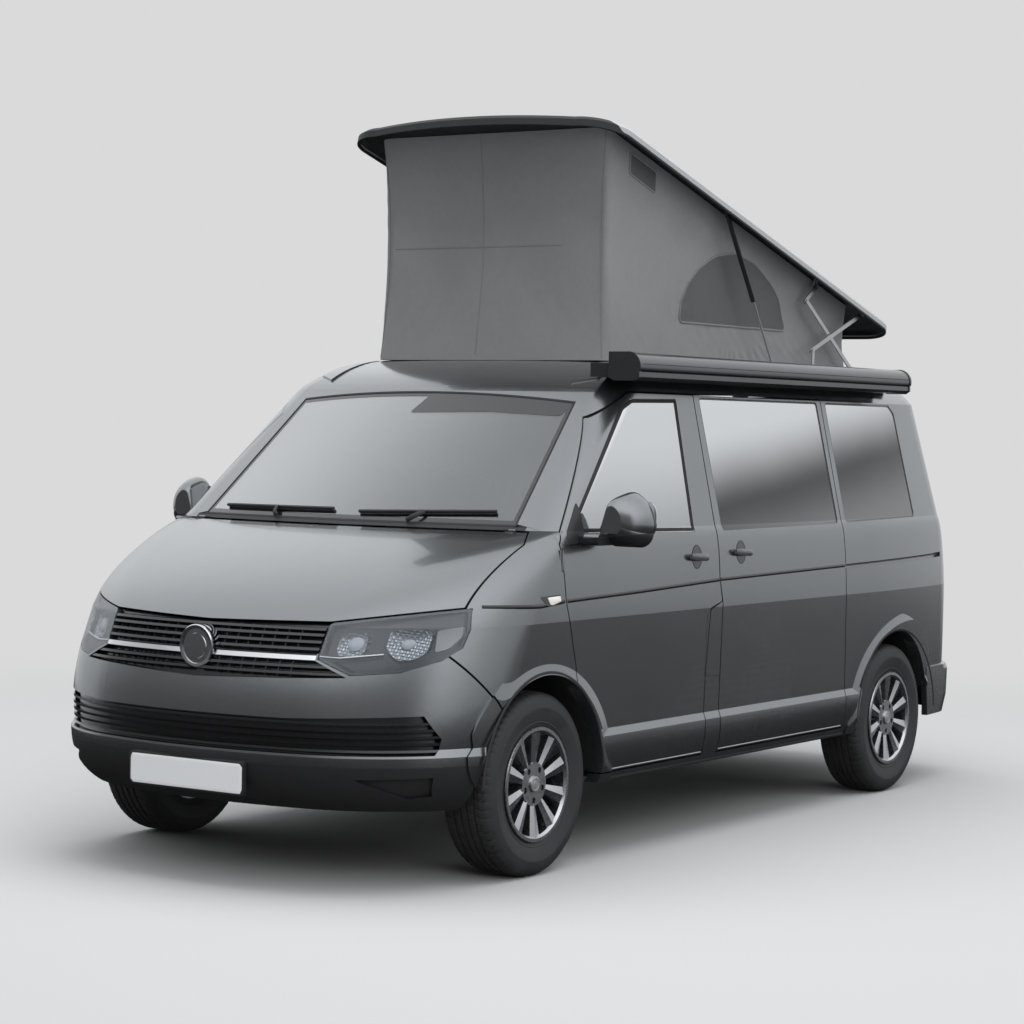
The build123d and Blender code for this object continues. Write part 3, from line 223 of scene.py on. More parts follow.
def metallic_paint(name, dark, light, coat=0.7, flake=1500):
    """Colour between dark and light by flake noise, under a clear coat with a faint ripple."""
    f = Finish(name)
    flakes = f.flakes(flake)
    peel = f.noise(220, 1)
    dust = f.noise(1.7, 3)
    return f.surface(flakes, dark, light, peel, 0.00005, metallic=0.95,
                     roughness=0.20 + 0.06 * dust + 0.04 * flakes, coat_weight=coat, coat_roughness=0.06)


def moulded(name, colour, rough=0.55, grain=900, depth=0.00012, coat=0.0):
    """Plastic with a fine moulded grain: the same noise roughens and dents it."""
    f = Finish(name)
    grains = f.noise(grain, 2)
    lighter = tuple(min(1.0, c * 1.35 + 0.002) for c in colour)
    return f.surface(grains, colour, lighter, grains, depth, roughness=rough + 0.15 * (grains - 0.5),
                     coat_weight=coat, coat_roughness=0.05)


def bare_metal(name, colour, rough=0.3, along=(1, 60, 60), depth=0.00003):
    """Metal with fine lines along one axis, and slow cloudy patches in its gloss."""
    f = Finish(name)
    lines = f.noise(60, 2, stretch=along)
    clouds = f.noise(12, 3)
    return f.surface(clouds, colour, tuple(c * 0.85 for c in colour), lines, depth, metallic=1.0,
                     roughness=rough + 0.12 * (lines - 0.5) + 0.1 * (clouds - 0.5))


graphite = metallic_paint("graphite_paint", *GRAPHITE)
black_plastic = moulded("black_plastic", SATIN_BLACK)
gloss_black = moulded("gloss_black", (0.006, 0.006, 0.007), rough=0.25, grain=400, depth=0.00001, coat=0.8)
rubber = moulded("black_rubber", (0.010, 0.010, 0.011), rough=0.7, grain=600)
chassis_black = moulded("chassis_black", (0.010, 0.010, 0.011), rough=0.65, grain=90, depth=0.0003)
silver_alloy = bare_metal("silver_alloy", (0.62, 0.63, 0.65), rough=0.28, along=(1, 1, 1))
bar_metal = bare_metal("brushed_bar", (0.66, 0.67, 0.68), rough=0.42)
chrome = bare_metal("bright_chrome", (0.82, 0.83, 0.85), rough=0.08, along=(1, 1, 1), depth=0.0)
anthracite = metallic_paint("anthracite_coating", (0.10, 0.105, 0.11), (0.16, 0.165, 0.17), coat=0.25,
                            flake=700)
dark_steel = moulded("black_steel", (0.008, 0.008, 0.009), rough=0.35, grain=200, depth=0.00002, coat=0.3)
cast_iron = bare_metal("cast_iron", (0.10, 0.10, 0.10), rough=0.6, along=(1, 1, 1), depth=0.0004)
print("finishes so far:", len(bpy.data.materials))

# %% [markdown]
# ## Glass
# Safety glass is a thin tinted pane. The windscreen and the side and door windows carry painted reflections:
# the brightness of their mirror image is set by where a point lies on the pane.

# %% Glass finishes


def pane(f, tint, share, mirrored, roughness):
    """A pane: see-through tint where share is 0, and a mirror of the given colour where it is 1."""
    clear = f.node("ShaderNodeBsdfTransparent", None, {"Color": (*tint, 1)})
    return f.done(f.mix(share, clear, f.coat(base_color=mirrored, metallic=1.0, roughness=roughness)))


def tinted_pane(name, tint, mirror_low, mirror_high):
    """Glass whose share of mirror rises with the grazing angle."""
    f = Finish(name)
    return pane(f, tint, mirror_low + (mirror_high - mirror_low) * f.edge_on(), (0.55, 0.56, 0.57), 0.03)


def painted_reflection_pane(name, tint, low_z, rise, spread, pale, deep):
    """Glass with a painted reflection: its mirror image is pale above a bank and deep below it, set by the
    height on the pane; the bank's top is low_z - rise x.
    """
    f = Finish(name)
    x, y, z = f.axes()
    over = z - (low_z - rise * x) + 0.05 * (f.noise(1.4, 2) - 0.5)
    # Painted reflection: the mirror's colour comes from the height on the pane. It is pale above the bank,
    # deep below it and paler again far below.
    bank = f.step(over, -spread, spread)
    foot = 0.25 * f.step(over, -0.12, -0.42)
    return pane(f, tint, 0.72 + 0.25 * f.edge_on(), f.blend(bank + foot, deep, pale), 0.04)


def painted_reflection_screen(name, tint):
    """Windscreen with a painted reflection: its mirror image brightens towards the van's right, so the mix
    factor is a rise in -y.
    """
    f = Finish(name)
    x, y, z = f.axes()
    # Painted reflection: the share of mirror comes from the place on the pane, not from the light.
    share = 0.30 + 0.45 * f.step(0.35 * z - y, -0.10, 1.20) + 0.06 * (f.noise(1.3, 2) - 0.5)
    return pane(f, tint, share, (0.62, 0.63, 0.64), 0.05)


PRIVACY_TINT = (0.08, 0.085, 0.09)
privacy_glass = tinted_pane("privacy_glass", PRIVACY_TINT, 0.30, 0.95)
screen_glass = painted_reflection_screen("windscreen_glass", (0.55, 0.57, 0.58))
# Side and door windows get painted reflections, pale above a sloping bank and deep below it.
side_glass = painted_reflection_pane("side_glass", PRIVACY_TINT, 1.50, 0.13, 0.16, (0.95, 0.96, 0.97),
                         (0.10, 0.10, 0.105))
door_glass = painted_reflection_pane("door_glass", (0.45, 0.46, 0.47), 1.36, 0.05, 0.30, (0.90, 0.91, 0.92),
                         (0.42, 0.43, 0.44))
lens_clear = tinted_pane("lamp_lens", (0.86, 0.88, 0.9), 0.05, 0.5)


def coloured_lens(name, deep, bright):
    """Ribbed lamp plastic: vertical ribs bend the gloss, and the colour is deeper between them."""
    f = Finish(name)
    x, y, z = f.axes()
    ribs = f.wave((y + x) * 900.0)
    return f.surface(f.step(ribs, -1.0, 1.0), deep, bright, ribs, 0.0004, roughness=0.18, coat_weight=0.8,
                     coat_roughness=0.03)


red_lens = coloured_lens("red_lens", (0.26, 0.006, 0.005), (0.60, 0.022, 0.018))

# %% [markdown]
# ## Cloth and boards
# The tent is a coated grey weave, the seats a darker one. Threads are far finer than a pixel, so two
# crossed waves at the thread's scale feed the bump, and slow noise gives the cloth its uneven tone.

# %% Cloth and furniture finishes


def woven(name, shade, thread=650, depth=0.0002, rough=0.85):
    """Crossed sine waves for the threads, and slow noise for the tone."""
    f = Finish(name)
    x, y, z = f.axes()
    warp = f.wave((x + y) * float(thread))
    weft = f.wave(z * float(thread))
    tone = 0.6 * f.noise(3.5, 4) + 0.4 * f.noise(40, 2)
    darker = tuple(c * 0.72 for c in shade)
    return f.surface(tone, darker, shade, warp * weft + 0.6 * f.noise(70, 2), depth, roughness=rough,
                     sheen_weight=0.15)


tent_cloth = woven("tent_cloth", (0.20, 0.204, 0.208))
seat_cloth = woven("seat_cloth", (0.15, 0.152, 0.156), thread=420)


def laminated(name, colour):
    """Board with a faint long grain along X."""
    f = Finish(name)
    streaks = f.noise(9, 3, stretch=(0.3, 6, 6))
    return f.surface(streaks, colour, tuple(c * 0.8 for c in colour), streaks, 0.0001, roughness=0.45,
                     coat_weight=0.2, coat_roughness=0.2)


grey_board = laminated("grey_board", (0.30, 0.30, 0.295))

# %% [markdown]
# ## The lifting roof's shell
# One solid carries three finishes: pale paint above, a black lip round its edge and a dark lining
# below. The shader finds them by the height over the closed roof, which turns with the shell's slope.

# %% Shell finish
ROOF_POLE = np.array([-2.600, 0.0, 1.900])
ROOF_TILT = np.radians(15.5)
LIP_HEIGHT, NOSE_LIP = 0.040, 0.05


def shell_paint():
    """The height over the closed roof, z cos(tilt) - x sin(tilt) from the pole, picks the finish."""
    f = Finish("roof_shell_paint")
    x, y, z = f.axes()
    rise = (z - ROOF_POLE[2]) * float(np.cos(ROOF_TILT)) - (x - ROOF_POLE[0]) * float(np.sin(ROOF_TILT))
    facing = f.node("ShaderNodeNewGeometry", output="Normal")
    up = Value(f, f.node("ShaderNodeSeparateXYZ", None, {"Vector": facing}).socket.node.outputs[2])
    edge = LIP_HEIGHT + NOSE_LIP * f.step(x, 0.60, 0.66)
    painted = f.step(rise - edge, 0.0, 0.001) * f.step(up, -0.3, -0.2)
    pale = f.blend(f.flakes(1200), (0.31, 0.32, 0.33), (0.41, 0.42, 0.43))
    return f.done(f.coat(base_color=f.blend(painted, (0.010, 0.010, 0.011), pale), metallic=0.3 * painted,
                         roughness=0.55 - 0.2 * painted, coat_weight=0.5 * painted, coat_roughness=0.08))


roof_shell_paint = shell_paint()


def mirror_paint():
    """Body paint on the housing's upper part; black below a line that rises outwards, and on the arm."""
    f = Finish("mirror_housing")
    x, y, z = f.axes()
    out = f.node("ShaderNodeMath", {"operation": "ABSOLUTE"}, {0: y})
    over = z - 1.238 - 0.12 * (out - 0.96)
    painted = f.step(over, 0.0, 0.0012) * f.step(out, 0.957, 0.960)
    paint = f.blend(f.flakes(1500), *GRAPHITE)
    grains = f.noise(900, 2)
    return f.surface(painted, SATIN_BLACK, paint, grains, 0.00004, metallic=0.95 * painted,
                     roughness=0.5 - 0.28 * painted, coat_weight=0.6 * painted, coat_roughness=0.06)


mirror_shell = mirror_paint()

# %% Finish of each solid
FINISH_OF = {
    "side_left side_right roof_panel front_wings front_bumper bonnet door_left door_right tailgate": graphite,
    "sliding_door rear_bumper": graphite,
    "cowl front_valance wheel_tubs dashboard steering_wheel": black_plastic,
    "mirror_left mirror_right": mirror_shell,
    "upper_grille lower_grille": gloss_black,
    "grille_trim": chrome,
    "headlamps": lens_clear,
    "windscreen": screen_glass,
    "door_glass_left door_glass_right": door_glass,
    "side_windows": side_glass,
    "tailgate_glass": privacy_glass,
    "tail_lamps": red_lens,
    "roof_shell": roof_shell_paint,
    "canvas": tent_cloth,
    "strut_tubes": dark_steel,
    "strut_rods long_bars cross_bars upper_links lower_links linkage_feet": bar_metal,
    "awning_cassette": anthracite,
    "awning_rail": black_plastic,
    "floor_pan bulkhead front_axle rear_axle": chassis_black,
    "front_seats rear_bench": seat_cloth,
    "kitchen_units": grey_board,
    "engine_block knuckle_left knuckle_right": cast_iron,
    "tyre_fl tyre_fr tyre_rl tyre_rr": rubber,
    "rim_fl rim_fr rim_rl rim_rr": silver_alloy,
}
for names, finish in FINISH_OF.items():
    for name in names.split():
        nodes[name].data.materials.clear()
        nodes[name].data.materials.append(finish)
print("solids without a finish:", sorted(set(nodes) - set(" ".join(FINISH_OF).split())))

# %% [markdown]
# ## Surfaces from arrays
# Every new piece is a grid of points worked out with numpy. These helpers turn grids into a mesh,
# carry a profile along a path and round the corners of an outline.

# %% Grid helpers
BODY_OF = {name: body for body, names in frame["record"]["behaviour"]["bodies"].items() for name in names}


def grid_faces(rows, cols, wrap_rows, wrap_cols):
    """Quads of a grid: cell (i, j) joins the points (i, j), (i + 1, j), (i + 1, j + 1) and (i, j + 1)."""
    i = np.arange(rows if wrap_rows else rows - 1)[:, None]
    j = np.arange(cols if wrap_cols else cols - 1)[None, :]
    down, across = (i + 1) % rows, (j + 1) % cols
    corners = [i * cols + j, down * cols + j, down * cols + across, i * cols + across]
    return np.stack(corners, -1).reshape(-1, 4)


def closed_ends(grid):
    """Adds the middle of the first and last row as rows of their own, which closes a tube's ends."""
    first = np.broadcast_to(grid[:1].mean(1, keepdims=True), grid[:1].shape)
    last = np.broadcast_to(grid[-1:].mean(1, keepdims=True), grid[-1:].shape)
    return np.concatenate([first, grid, last])


def flip_y(grid):
    """The same grid on the other side of the van: y changes sign."""
    return grid * [1.0, -1.0, 1.0]


def make_piece(name, grids, body, finish, slot, wrap_rows=False, wrap_cols=True, crisp=35):
    """One mesh from grids of points. Doubles are merged and faces turned outwards."""
    points = np.concatenate([g.reshape(-1, 3) for g in grids])
    starts = np.cumsum([0] + [g.shape[0] * g.shape[1] for g in grids[:-1]])
    faces = [grid_faces(g.shape[0], g.shape[1], wrap_rows, wrap_cols) + s for g, s in zip(grids, starts)]
    mesh = bpy.data.meshes.new(name)
    mesh.from_pydata(points.tolist(), [], np.concatenate(faces).tolist())
    edit = bmesh.new()
    edit.from_mesh(mesh)
    bmesh.ops.remove_doubles(edit, verts=edit.verts, dist=1e-6)
    bmesh.ops.dissolve_degenerate(edit, edges=edit.edges, dist=1e-7)
    bmesh.ops.recalc_face_normals(edit, faces=edit.faces)
    edit.to_mesh(mesh)
    edit.free()
    mesh.shade_smooth()
    mesh.set_sharp_from_angle(angle=np.radians(crisp))
    mesh.materials.append(finish)
    piece = bpy.data.objects.new(name, mesh)
    bpy.context.scene.collection.objects.link(piece)
    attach(piece, body)
    return piece


def spaced(path, step, closed=True):
    """The path again, with points evenly spaced by about one step along its length."""
    loop = np.concatenate([path, path[:1]]) if closed else path
    run = np.concatenate([[0], np.cumsum(np.linalg.norm(np.diff(loop, axis=0), axis=1))])
    count = max(3, int(round(run[-1] / step)))
    at = np.linspace(0, run[-1], count + 1)
    at = at[:-1] if closed else at
    return np.stack([np.interp(at, run, loop[:, k]) for k in range(loop.shape[1])], 1)


def rounded(outline, radius, steps=6):
    """Each corner p becomes (1 - t)^2 a + 2 t (1 - t) p + t^2 b, with a and b a radius away from p."""
    p = np.array(outline, float)
    back, on = np.roll(p, 1, 0) - p, np.roll(p, -1, 0) - p
    near = np.minimum(radius, 0.45 * np.minimum(np.linalg.norm(back, axis=1), np.linalg.norm(on, axis=1)))
    a = p + back / np.linalg.norm(back, axis=1)[:, None] * near[:, None]
    b = p + on / np.linalg.norm(on, axis=1)[:, None] * near[:, None]
    t = np.linspace(0, 1, steps)[None, :, None]
    curve = (1 - t) ** 2 * a[:, None] + 2 * t * (1 - t) * p[:, None] + t ** 2 * b[:, None]
    return curve.reshape(-1, p.shape[1])


def tangents(path, closed):
    """Unit directions along a path, from each point's two neighbours."""
    if closed:
        way = np.roll(path, -1, 0) - np.roll(path, 1, 0)
    else:
        way = np.gradient(path, axis=0)
    return way / np.linalg.norm(way, axis=1)[:, None]


def sweep(path, out, profile, closed=False):
    """The profile (a, b) at each path point p: p + a side + b lift, side being tangent cross out."""
    along = tangents(path, closed)
    side = np.cross(along, out)
    side = side / np.linalg.norm(side, axis=1)[:, None]
    lift = np.cross(side, along)
    return path[:, None] + profile[None, :, :1] * side[:, None] + profile[None, :, 1:] * lift[:, None]


def smooth(corners, radius, steps, step):
    """A loop through the corners, each rounded in some steps, with points a step apart."""
    return spaced(rounded(corners, radius, steps), step)


def mm(*points):
    """Points given in millimetres, as an array in metres."""
    return 0.001 * np.array(points)


def straight(start, end, count):
    """Points on the straight line start (1 - t) + end t."""
    t = np.linspace(0, 1, count)[:, None]
    return np.array(start) * (1 - t) + np.array(end) * t


def around(count):
    """Angles evenly round a full turn."""
    return np.linspace(0, 2 * np.pi, count, endpoint=False)


def rod(path, out, profile):
    """The profile carried along an open path, with both ends closed."""
    return closed_ends(sweep(path, np.array(out, float), profile))


def ring(radius_a, radius_b, count=12):
    """An ellipse as a profile: (a cos t, b sin t)."""
    t = around(count)
    return np.stack([radius_a * np.cos(t), radius_b * np.sin(t)], 1)


def revolved(profile, centre, count, axis=1):
    """Each (r, h) of the profile turned about an axis: r cos t and r sin t across it, h along it."""
    t = around(count)
    r, h = profile[:, 0][None, :], profile[:, 1][None, :]
    across = [r * np.cos(t)[:, None], r * np.sin(t)[:, None]]
    grid = np.zeros((count, len(profile), 3))
    others = [k for k in range(3) if k != axis]
    grid[..., others[0]], grid[..., others[1]], grid[..., axis] = across[0], across[1], h
    return grid + np.array(centre)


# %% [markdown]
# ## The body's skin as a formula
# Seals, handles and grooves have to lie on the curved side. The same table of sections that shapes the
# solids gives the side's y for any x and z: each section is an arc, a line and arcs. Between creases the
# skin runs smoothly through the sections, as a cubic with matching slopes.

# %% Skin of the body
SECTION_COLUMNS = "z nose_x nose_crown nose_corner half_width tail_x tail_corner tail_crown".split()
SECTION_ROWS = np.array([
    (0.285, 2.330, 1.900, 0.600, 0.898, -2.300, 0.280, 3.500),
    (0.340, 2.402, 1.900, 0.640, 0.930, -2.365, 0.300, 3.500),
    (0.484, 2.452, 1.900, 0.650, 0.949, -2.372, 0.310, 3.500),
    (0.512, 2.446, 1.900, 0.650, 0.939, -2.372, 0.310, 3.500),
    (0.620, 2.450, 1.900, 0.650, 0.941, -2.372, 0.310, 3.500),
    (0.740, 2.425, 1.900, 0.650, 0.944, -2.368, 0.310, 3.500),
    (0.935, 2.340, 1.900, 0.650, 0.950, -2.352, 0.310, 3.500),
    (1.010, 2.262, 1.950, 0.600, 0.949, -2.342, 0.310, 3.500),
    (1.100, 2.095, 2.150, 0.480, 0.946, -2.330, 0.310, 3.500),
    (1.190, 1.855, 2.700, 0.330, 0.939, -2.316, 0.310, 3.500),
    (1.265, 1.565, 3.500, 0.130, 0.922, -2.300, 0.310, 3.500),
    (1.790, 0.975, 2.600, 0.150, 0.815, -2.185, 0.330, 3.200),
    (1.850, 0.875, 2.600, 0.170, 0.770, -2.130, 0.330, 3.200),
    (1.900, 0.730, 2.600, 0.180, 0.700, -2.080, 0.300, 3.200),
    (1.922, 0.560, 2.600, 0.180, 0.600, -1.990, 0.260, 3.200),
])
SECTION = {name: SECTION_ROWS[:, k] for k, name in enumerate(SECTION_COLUMNS)}
TAPER_X, TAPER_R = -1.150, 8.000
ARC_STEPS = 40
OFF_MIDDLE = 1e-5


def arc(centre, radius, start, end):
    """Points centre + radius (cos, sin) from one angle to another, for each section at once."""
    t = np.linspace(0, 1, ARC_STEPS)[None, :]
    angle = start[:, None] * (1 - t) + end[:, None] * t
    radius = np.broadcast_to(radius, start.shape)[:, None]
    x = centre[0][:, None] + radius * np.cos(angle)
    y = centre[1][:, None] + radius * np.sin(angle)
    return np.stack([x, y], -1)


def left_halves():
    """Left half of every section from the nose to the tail: crown, corner, side, taper, heel and tail."""
    s = SECTION
    nose_cx = s["nose_x"] - s["nose_crown"]
    corner_cy = s["half_width"] - s["nose_corner"]
    corner_cx = nose_cx + np.sqrt((s["nose_crown"] - s["nose_corner"]) ** 2 - corner_cy ** 2)
    to_corner = np.arctan2(corner_cy, corner_cx - nose_cx)
    taper_cy = s["half_width"] - TAPER_R
    tail_cx = s["tail_x"] + s["tail_crown"]
    ra, rb = TAPER_R - s["tail_corner"], s["tail_crown"] - s["tail_corner"]
    dx, dy = tail_cx - TAPER_X, -taper_cy
    apart = np.hypot(dx, dy)
    reach = (ra ** 2 - rb ** 2 + apart ** 2) / (2 * apart)
    lift = np.sqrt(ra ** 2 - reach ** 2)
    heel_cx = TAPER_X + (dx * reach - dy * lift) / apart
    heel_cy = taper_cy + (dy * reach + dx * lift) / apart
    to_taper = np.arctan2(heel_cy - taper_cy, heel_cx - TAPER_X)
    to_heel = np.arctan2(heel_cy, heel_cx - tail_cx)
    quarter, zero = np.full(len(nose_cx), np.pi / 2), np.zeros(len(nose_cx))
    half_turn = np.full(len(nose_cx), np.pi)
    return np.concatenate([
        arc((nose_cx, zero), s["nose_crown"], zero, to_corner),
        arc((corner_cx, corner_cy), s["nose_corner"], to_corner, quarter),
        arc((zero + TAPER_X, taper_cy), TAPER_R, quarter, to_taper),
        arc((heel_cx, heel_cy), s["tail_corner"], to_taper, to_heel),
        arc((tail_cx, zero), s["tail_crown"], to_heel, half_turn),
    ], 1)


HALVES = left_halves()
CREASES = np.array([0.285, 0.484, 0.512, 0.935, 1.265, 1.790, 1.922])


def slopes():
    """Slope dP/dz at both ends of each gap between sections: central inside a band, one-sided at a crease."""
    z = SECTION["z"][:, None, None]
    gap = (HALVES[1:] - HALVES[:-1]) / (z[1:] - z[:-1])
    weight = (z[1:-1] - z[:-2]) / (z[2:] - z[:-2])
    central = gap[:-1] * (1 - weight) + gap[1:] * weight
    at_crease = np.isin(np.round(SECTION["z"][1:-1], 4), CREASES)[:, None, None]
    low_end = np.concatenate([gap[:1], np.where(at_crease, gap[1:], central)])
    high_end = np.concatenate([np.where(at_crease, gap[:-1], central), gap[-1:]])
    return low_end, high_end


SLOPE_LOW, SLOPE_HIGH = slopes()


def curve_at(z):
    """The half section at each height, by the cubic through two sections with the slopes at both."""
    z = np.clip(z, SECTION["z"][0], SECTION["z"][-1])
    row = np.clip(np.searchsorted(SECTION["z"], z, side="right") - 1, 0, len(SECTION["z"]) - 2)
    h = (SECTION["z"][row + 1] - SECTION["z"][row])[:, None, None]
    t = (z - SECTION["z"][row])[:, None, None] / h
    a, b = HALVES[row], HALVES[row + 1]
    bend = t * (1 - t) ** 2 * h * SLOPE_LOW[row] - t ** 2 * (1 - t) * h * SLOPE_HIGH[row]
    return a * (1 + 2 * t) * (1 - t) ** 2 + b * t ** 2 * (3 - 2 * t) + bend


def cross_curve(curves, column, wanted, from_end=False):
    """Where each curve first passes the wanted coordinate, by a straight cut between two of its points."""
    other = 1 - column
    before, after = curves[:, :-1, column], curves[:, 1:, column]
    hit = (before - wanted[:, None]) * (after - wanted[:, None]) <= 0
    at = hit.shape[1] - 1 - np.argmax(hit[:, ::-1], 1) if from_end else np.argmax(hit, 1)
    line = np.arange(len(curves))
    a, b = curves[line, at], curves[line, at + 1]
    span = b[:, column] - a[:, column]
    t = np.where(np.abs(span) > 1e-9, (wanted - a[:, column]) / np.where(np.abs(span) > 1e-9, span, 1), 0)
    return a[:, other] + np.clip(t, 0, 1) * (b[:, other] - a[:, other])


def spread(first, second, lift):
    """Two coordinates and a lift brought to one shape: that shape, then each of them as a flat array."""
    first, second = (np.atleast_1d(values).astype(float) for values in (first, second))
    arrays = np.broadcast_arrays(first, second, lift)
    return (arrays[0].shape, *(array.ravel() for array in arrays))


def side_skin(x, z, lift=0.0):
    """Points on the left side at (x, z), lifted outwards along Y."""
    shape, x, z, lift = spread(x, z, lift)
    return np.stack([x, cross_curve(curve_at(z), 0, x) + lift, z], -1).reshape(*shape, 3)


def nose_skin(y, z, lift=0.0):
    """Points on the nose at (y, z), lifted forwards along X. Negative y gives the right half."""
    shape, y, z, lift = spread(y, z, lift)
    return np.stack([cross_curve(curve_at(z), 1, np.abs(y)) + lift, y, z], -1).reshape(*shape, 3)


def tail_skin(y, z, lift=0.0):
    """Points on the tail at (y, z), lifted backwards. The nose meets y = 0 too, so y keeps off it."""
    shape, y, z, lift = spread(y, z, lift)
    x = cross_curve(curve_at(z), 1, np.maximum(np.abs(y), OFF_MIDDLE), from_end=True) - lift
    return np.stack([x, y, z], -1).reshape(*shape, 3)


print("half width at the doors:", float(side_skin(0.5, 0.7)[0, 1]))

# %% [markdown]
# ## Patches, bands and strips
# Three shapes lie on the skin all over the van. A patch is a slab inside an outline, a band is a frame
# along its edge, and a strip follows an open line. Each takes its curvature from the skin's formula.

# %% Patches, bands and strips
BODY = BODY_OF["side_left"]
SIDES, LEFT_ONLY = (BODY, BODY), (BODY, None)
DOORS = (BODY_OF["door_left"], BODY_OF["door_right"])
TAILGATE = BODY_OF["tailgate"]
GLOSS, PLASTIC, RUBBER = (gloss_black, "gloss_black"), (black_plastic, "plastic"), (rubber, "plastic")


def inset(outline, width):
    """The outline moved inwards: p - w n, with n = (t_b, -t_a) the outward normal of the loop."""
    way = tangents(np.column_stack([outline, np.zeros(len(outline))]), True)[:, :2]
    ahead = np.roll(outline, -1, 0)
    turn = np.sign(np.sum(outline[:, 0] * ahead[:, 1] - ahead[:, 0] * outline[:, 1]))
    return outline - turn * width * np.stack([way[:, 1], -way[:, 0]], 1)


def patch(outline, skin, lift, thick, rings=9, dome=0.0):
    """Slab on the skin: s runs from the outline's middle to its edge, and the front domes by 1 - s^2."""
    s = np.linspace(0, 1, rings)[:, None, None]
    middle = outline.mean(0)
    flat = middle + s * (outline - middle)[None]
    front = skin(flat[..., 0], flat[..., 1], lift + dome * (1 - s[..., 0] ** 2))
    back = skin(flat[..., 0], flat[..., 1], lift - thick)
    return np.concatenate([front, back[::-1]])


def band(outline, width, skin, lift, thick):
    """Frame on the skin along an outline, with its edges slightly below its middle."""
    share = np.array([0.0, 0.12, 0.5, 0.88, 1.0])
    height = lift - 0.35 * thick * (2 * share - 1) ** 4
    loops = [inset(outline, width * k) for k in share]
    front = [skin(loop[:, 0], loop[:, 1], h) for loop, h in zip(loops, height)]
    back = [skin(loop[:, 0], loop[:, 1], lift - thick) for loop in (loops[-1], loops[0])]
    return np.stack(front + back)


def strip(line, skin, width, rise, sunk=0.0, out=(0.0, 1.0, 0.0), step=0.02):
    """A round-topped strip along an open line on the skin, its half ellipse standing out by rise."""
    path = spaced(np.array(line, float), step, closed=False)
    spine = skin(path[:, 0], path[:, 1], -sunk)
    return rod(spine, out, ring(width / 2, rise, 10))


def both(name, grids, bodies, finish, slot, **shape):
    """The piece and its mirror image, each on its own body, or the left one alone."""
    right = [flip_y(g) for g in grids]
    if bodies[1] is None:
        return make_piece(name, grids, bodies[0], finish, slot, **shape)
    if bodies[0] == bodies[1]:
        return make_piece(name, grids + right, bodies[0], finish, slot, **shape)
    make_piece(name + "_left", grids, bodies[0], finish, slot, **shape)
    return make_piece(name + "_right", right, bodies[1], finish, slot, **shape)


# %% [markdown]
# ## Window frames
# A thin black frame hides the glued edge of each pane. The windscreen has a wider one, with a dark strip
# along the top of its left half, and the door windows run in rubber channels.

# %% Window frames
DOOR_WINDOW = mm((440, 1243), (424, 1774), (775, 1768), (850, 1738), (1330, 1302), (1330, 1258))
MIDDLE_WINDOW = mm((212, 1243), (238, 1783), (-827, 1783), (-852, 1252))
REAR_WINDOW = mm((-906, 1783), (-1590, 1783), (-1644, 1745), (-1695, 1266), (-928, 1254))
TAILGATE_WINDOW = mm((-640, 1240), (-650, 1300), (-585, 1745), (585, 1745), (650, 1300), (640, 1240))
GLASS_SET = 0.003


def pane_outline(corners, radius, play=0.0015):
    """The opening's corners rounded and drawn in by the pane's play."""
    return inset(smooth(corners, radius, 8, 0.015), play)


frames = [band(pane_outline(window, 0.02), 0.007, side_skin, 0.0015 - GLASS_SET, 0.003)
          for window in (MIDDLE_WINDOW, REAR_WINDOW)]
both("side_window_frames", frames, SIDES, *GLOSS, wrap_rows=True)
channel = band(pane_outline(DOOR_WINDOW, 0.012), 0.015, side_skin, 0.0025 - GLASS_SET, 0.004)
both("door_window_channel", [channel], DOORS, *RUBBER, wrap_rows=True)
rear_frame = band(pane_outline(TAILGATE_WINDOW, 0.02), 0.030, tail_skin, 0.0012 - GLASS_SET, 0.003)
make_piece("tailgate_window_frame", [rear_frame], TAILGATE, *GLOSS, wrap_rows=True)


def screen_outline():
    """The windscreen's edge from the front: slanted sides, and a top that is part of a circle."""
    base_y, base_z, top_y, top_z, crown_z = 0.748, 1.276, 0.664, 1.752, 1.786
    y = np.linspace(top_y, -top_y, 60)
    radius = ((crown_z - top_z) ** 2 + top_y ** 2) / (2 * (crown_z - top_z))
    crown = np.stack([y, crown_z - radius + np.sqrt(radius ** 2 - y ** 2)], 1)
    foot = np.stack([np.linspace(-base_y, base_y, 60), np.full(60, base_z)], 1)
    return inset(spaced(np.concatenate([foot, crown]), 0.012), 0.0025)


screen_edge = screen_outline()
make_piece("windscreen_frame", [band(screen_edge, 0.020, nose_skin, 0.0006 - GLASS_SET, 0.0016)], BODY,
           *GLOSS, wrap_rows=True)
seal_line = inset(screen_edge, -0.0028)
make_piece("windscreen_seal", [band(seal_line, 0.008, nose_skin, 0.0010, 0.004)], BODY, *RUBBER,
           wrap_rows=True)
SUN_STRIP = mm((-30, 1698), (20, 1783), (350, 1772), (655, 1746), (640, 1694), (330, 1706))
strip_outline = smooth(SUN_STRIP, 0.012, 6, 0.010)
make_piece("sun_strip", [patch(strip_outline, nose_skin, 0.0010 - GLASS_SET, 0.002, rings=24)], BODY, *GLOSS)
inner_mirror = rounded(mm((-118, 1668), (118, 1668), (128, 1738), (-128, 1738)), 0.03, 6)
make_piece("inner_mirror", [patch(spaced(inner_mirror, 0.01), nose_skin, -0.055, 0.030, dome=0.006)], BODY,
           moulded("mirror_shell", (0.055, 0.056, 0.058)), "plastic")

# %% [markdown]
# ## Lines and handles on the sides
# A dark groove runs from the indicator to the slide of the side door. Each door has an upright oval
# pocket with a bar across it, and thin lines mark the fuel flap and the seam above the slide.

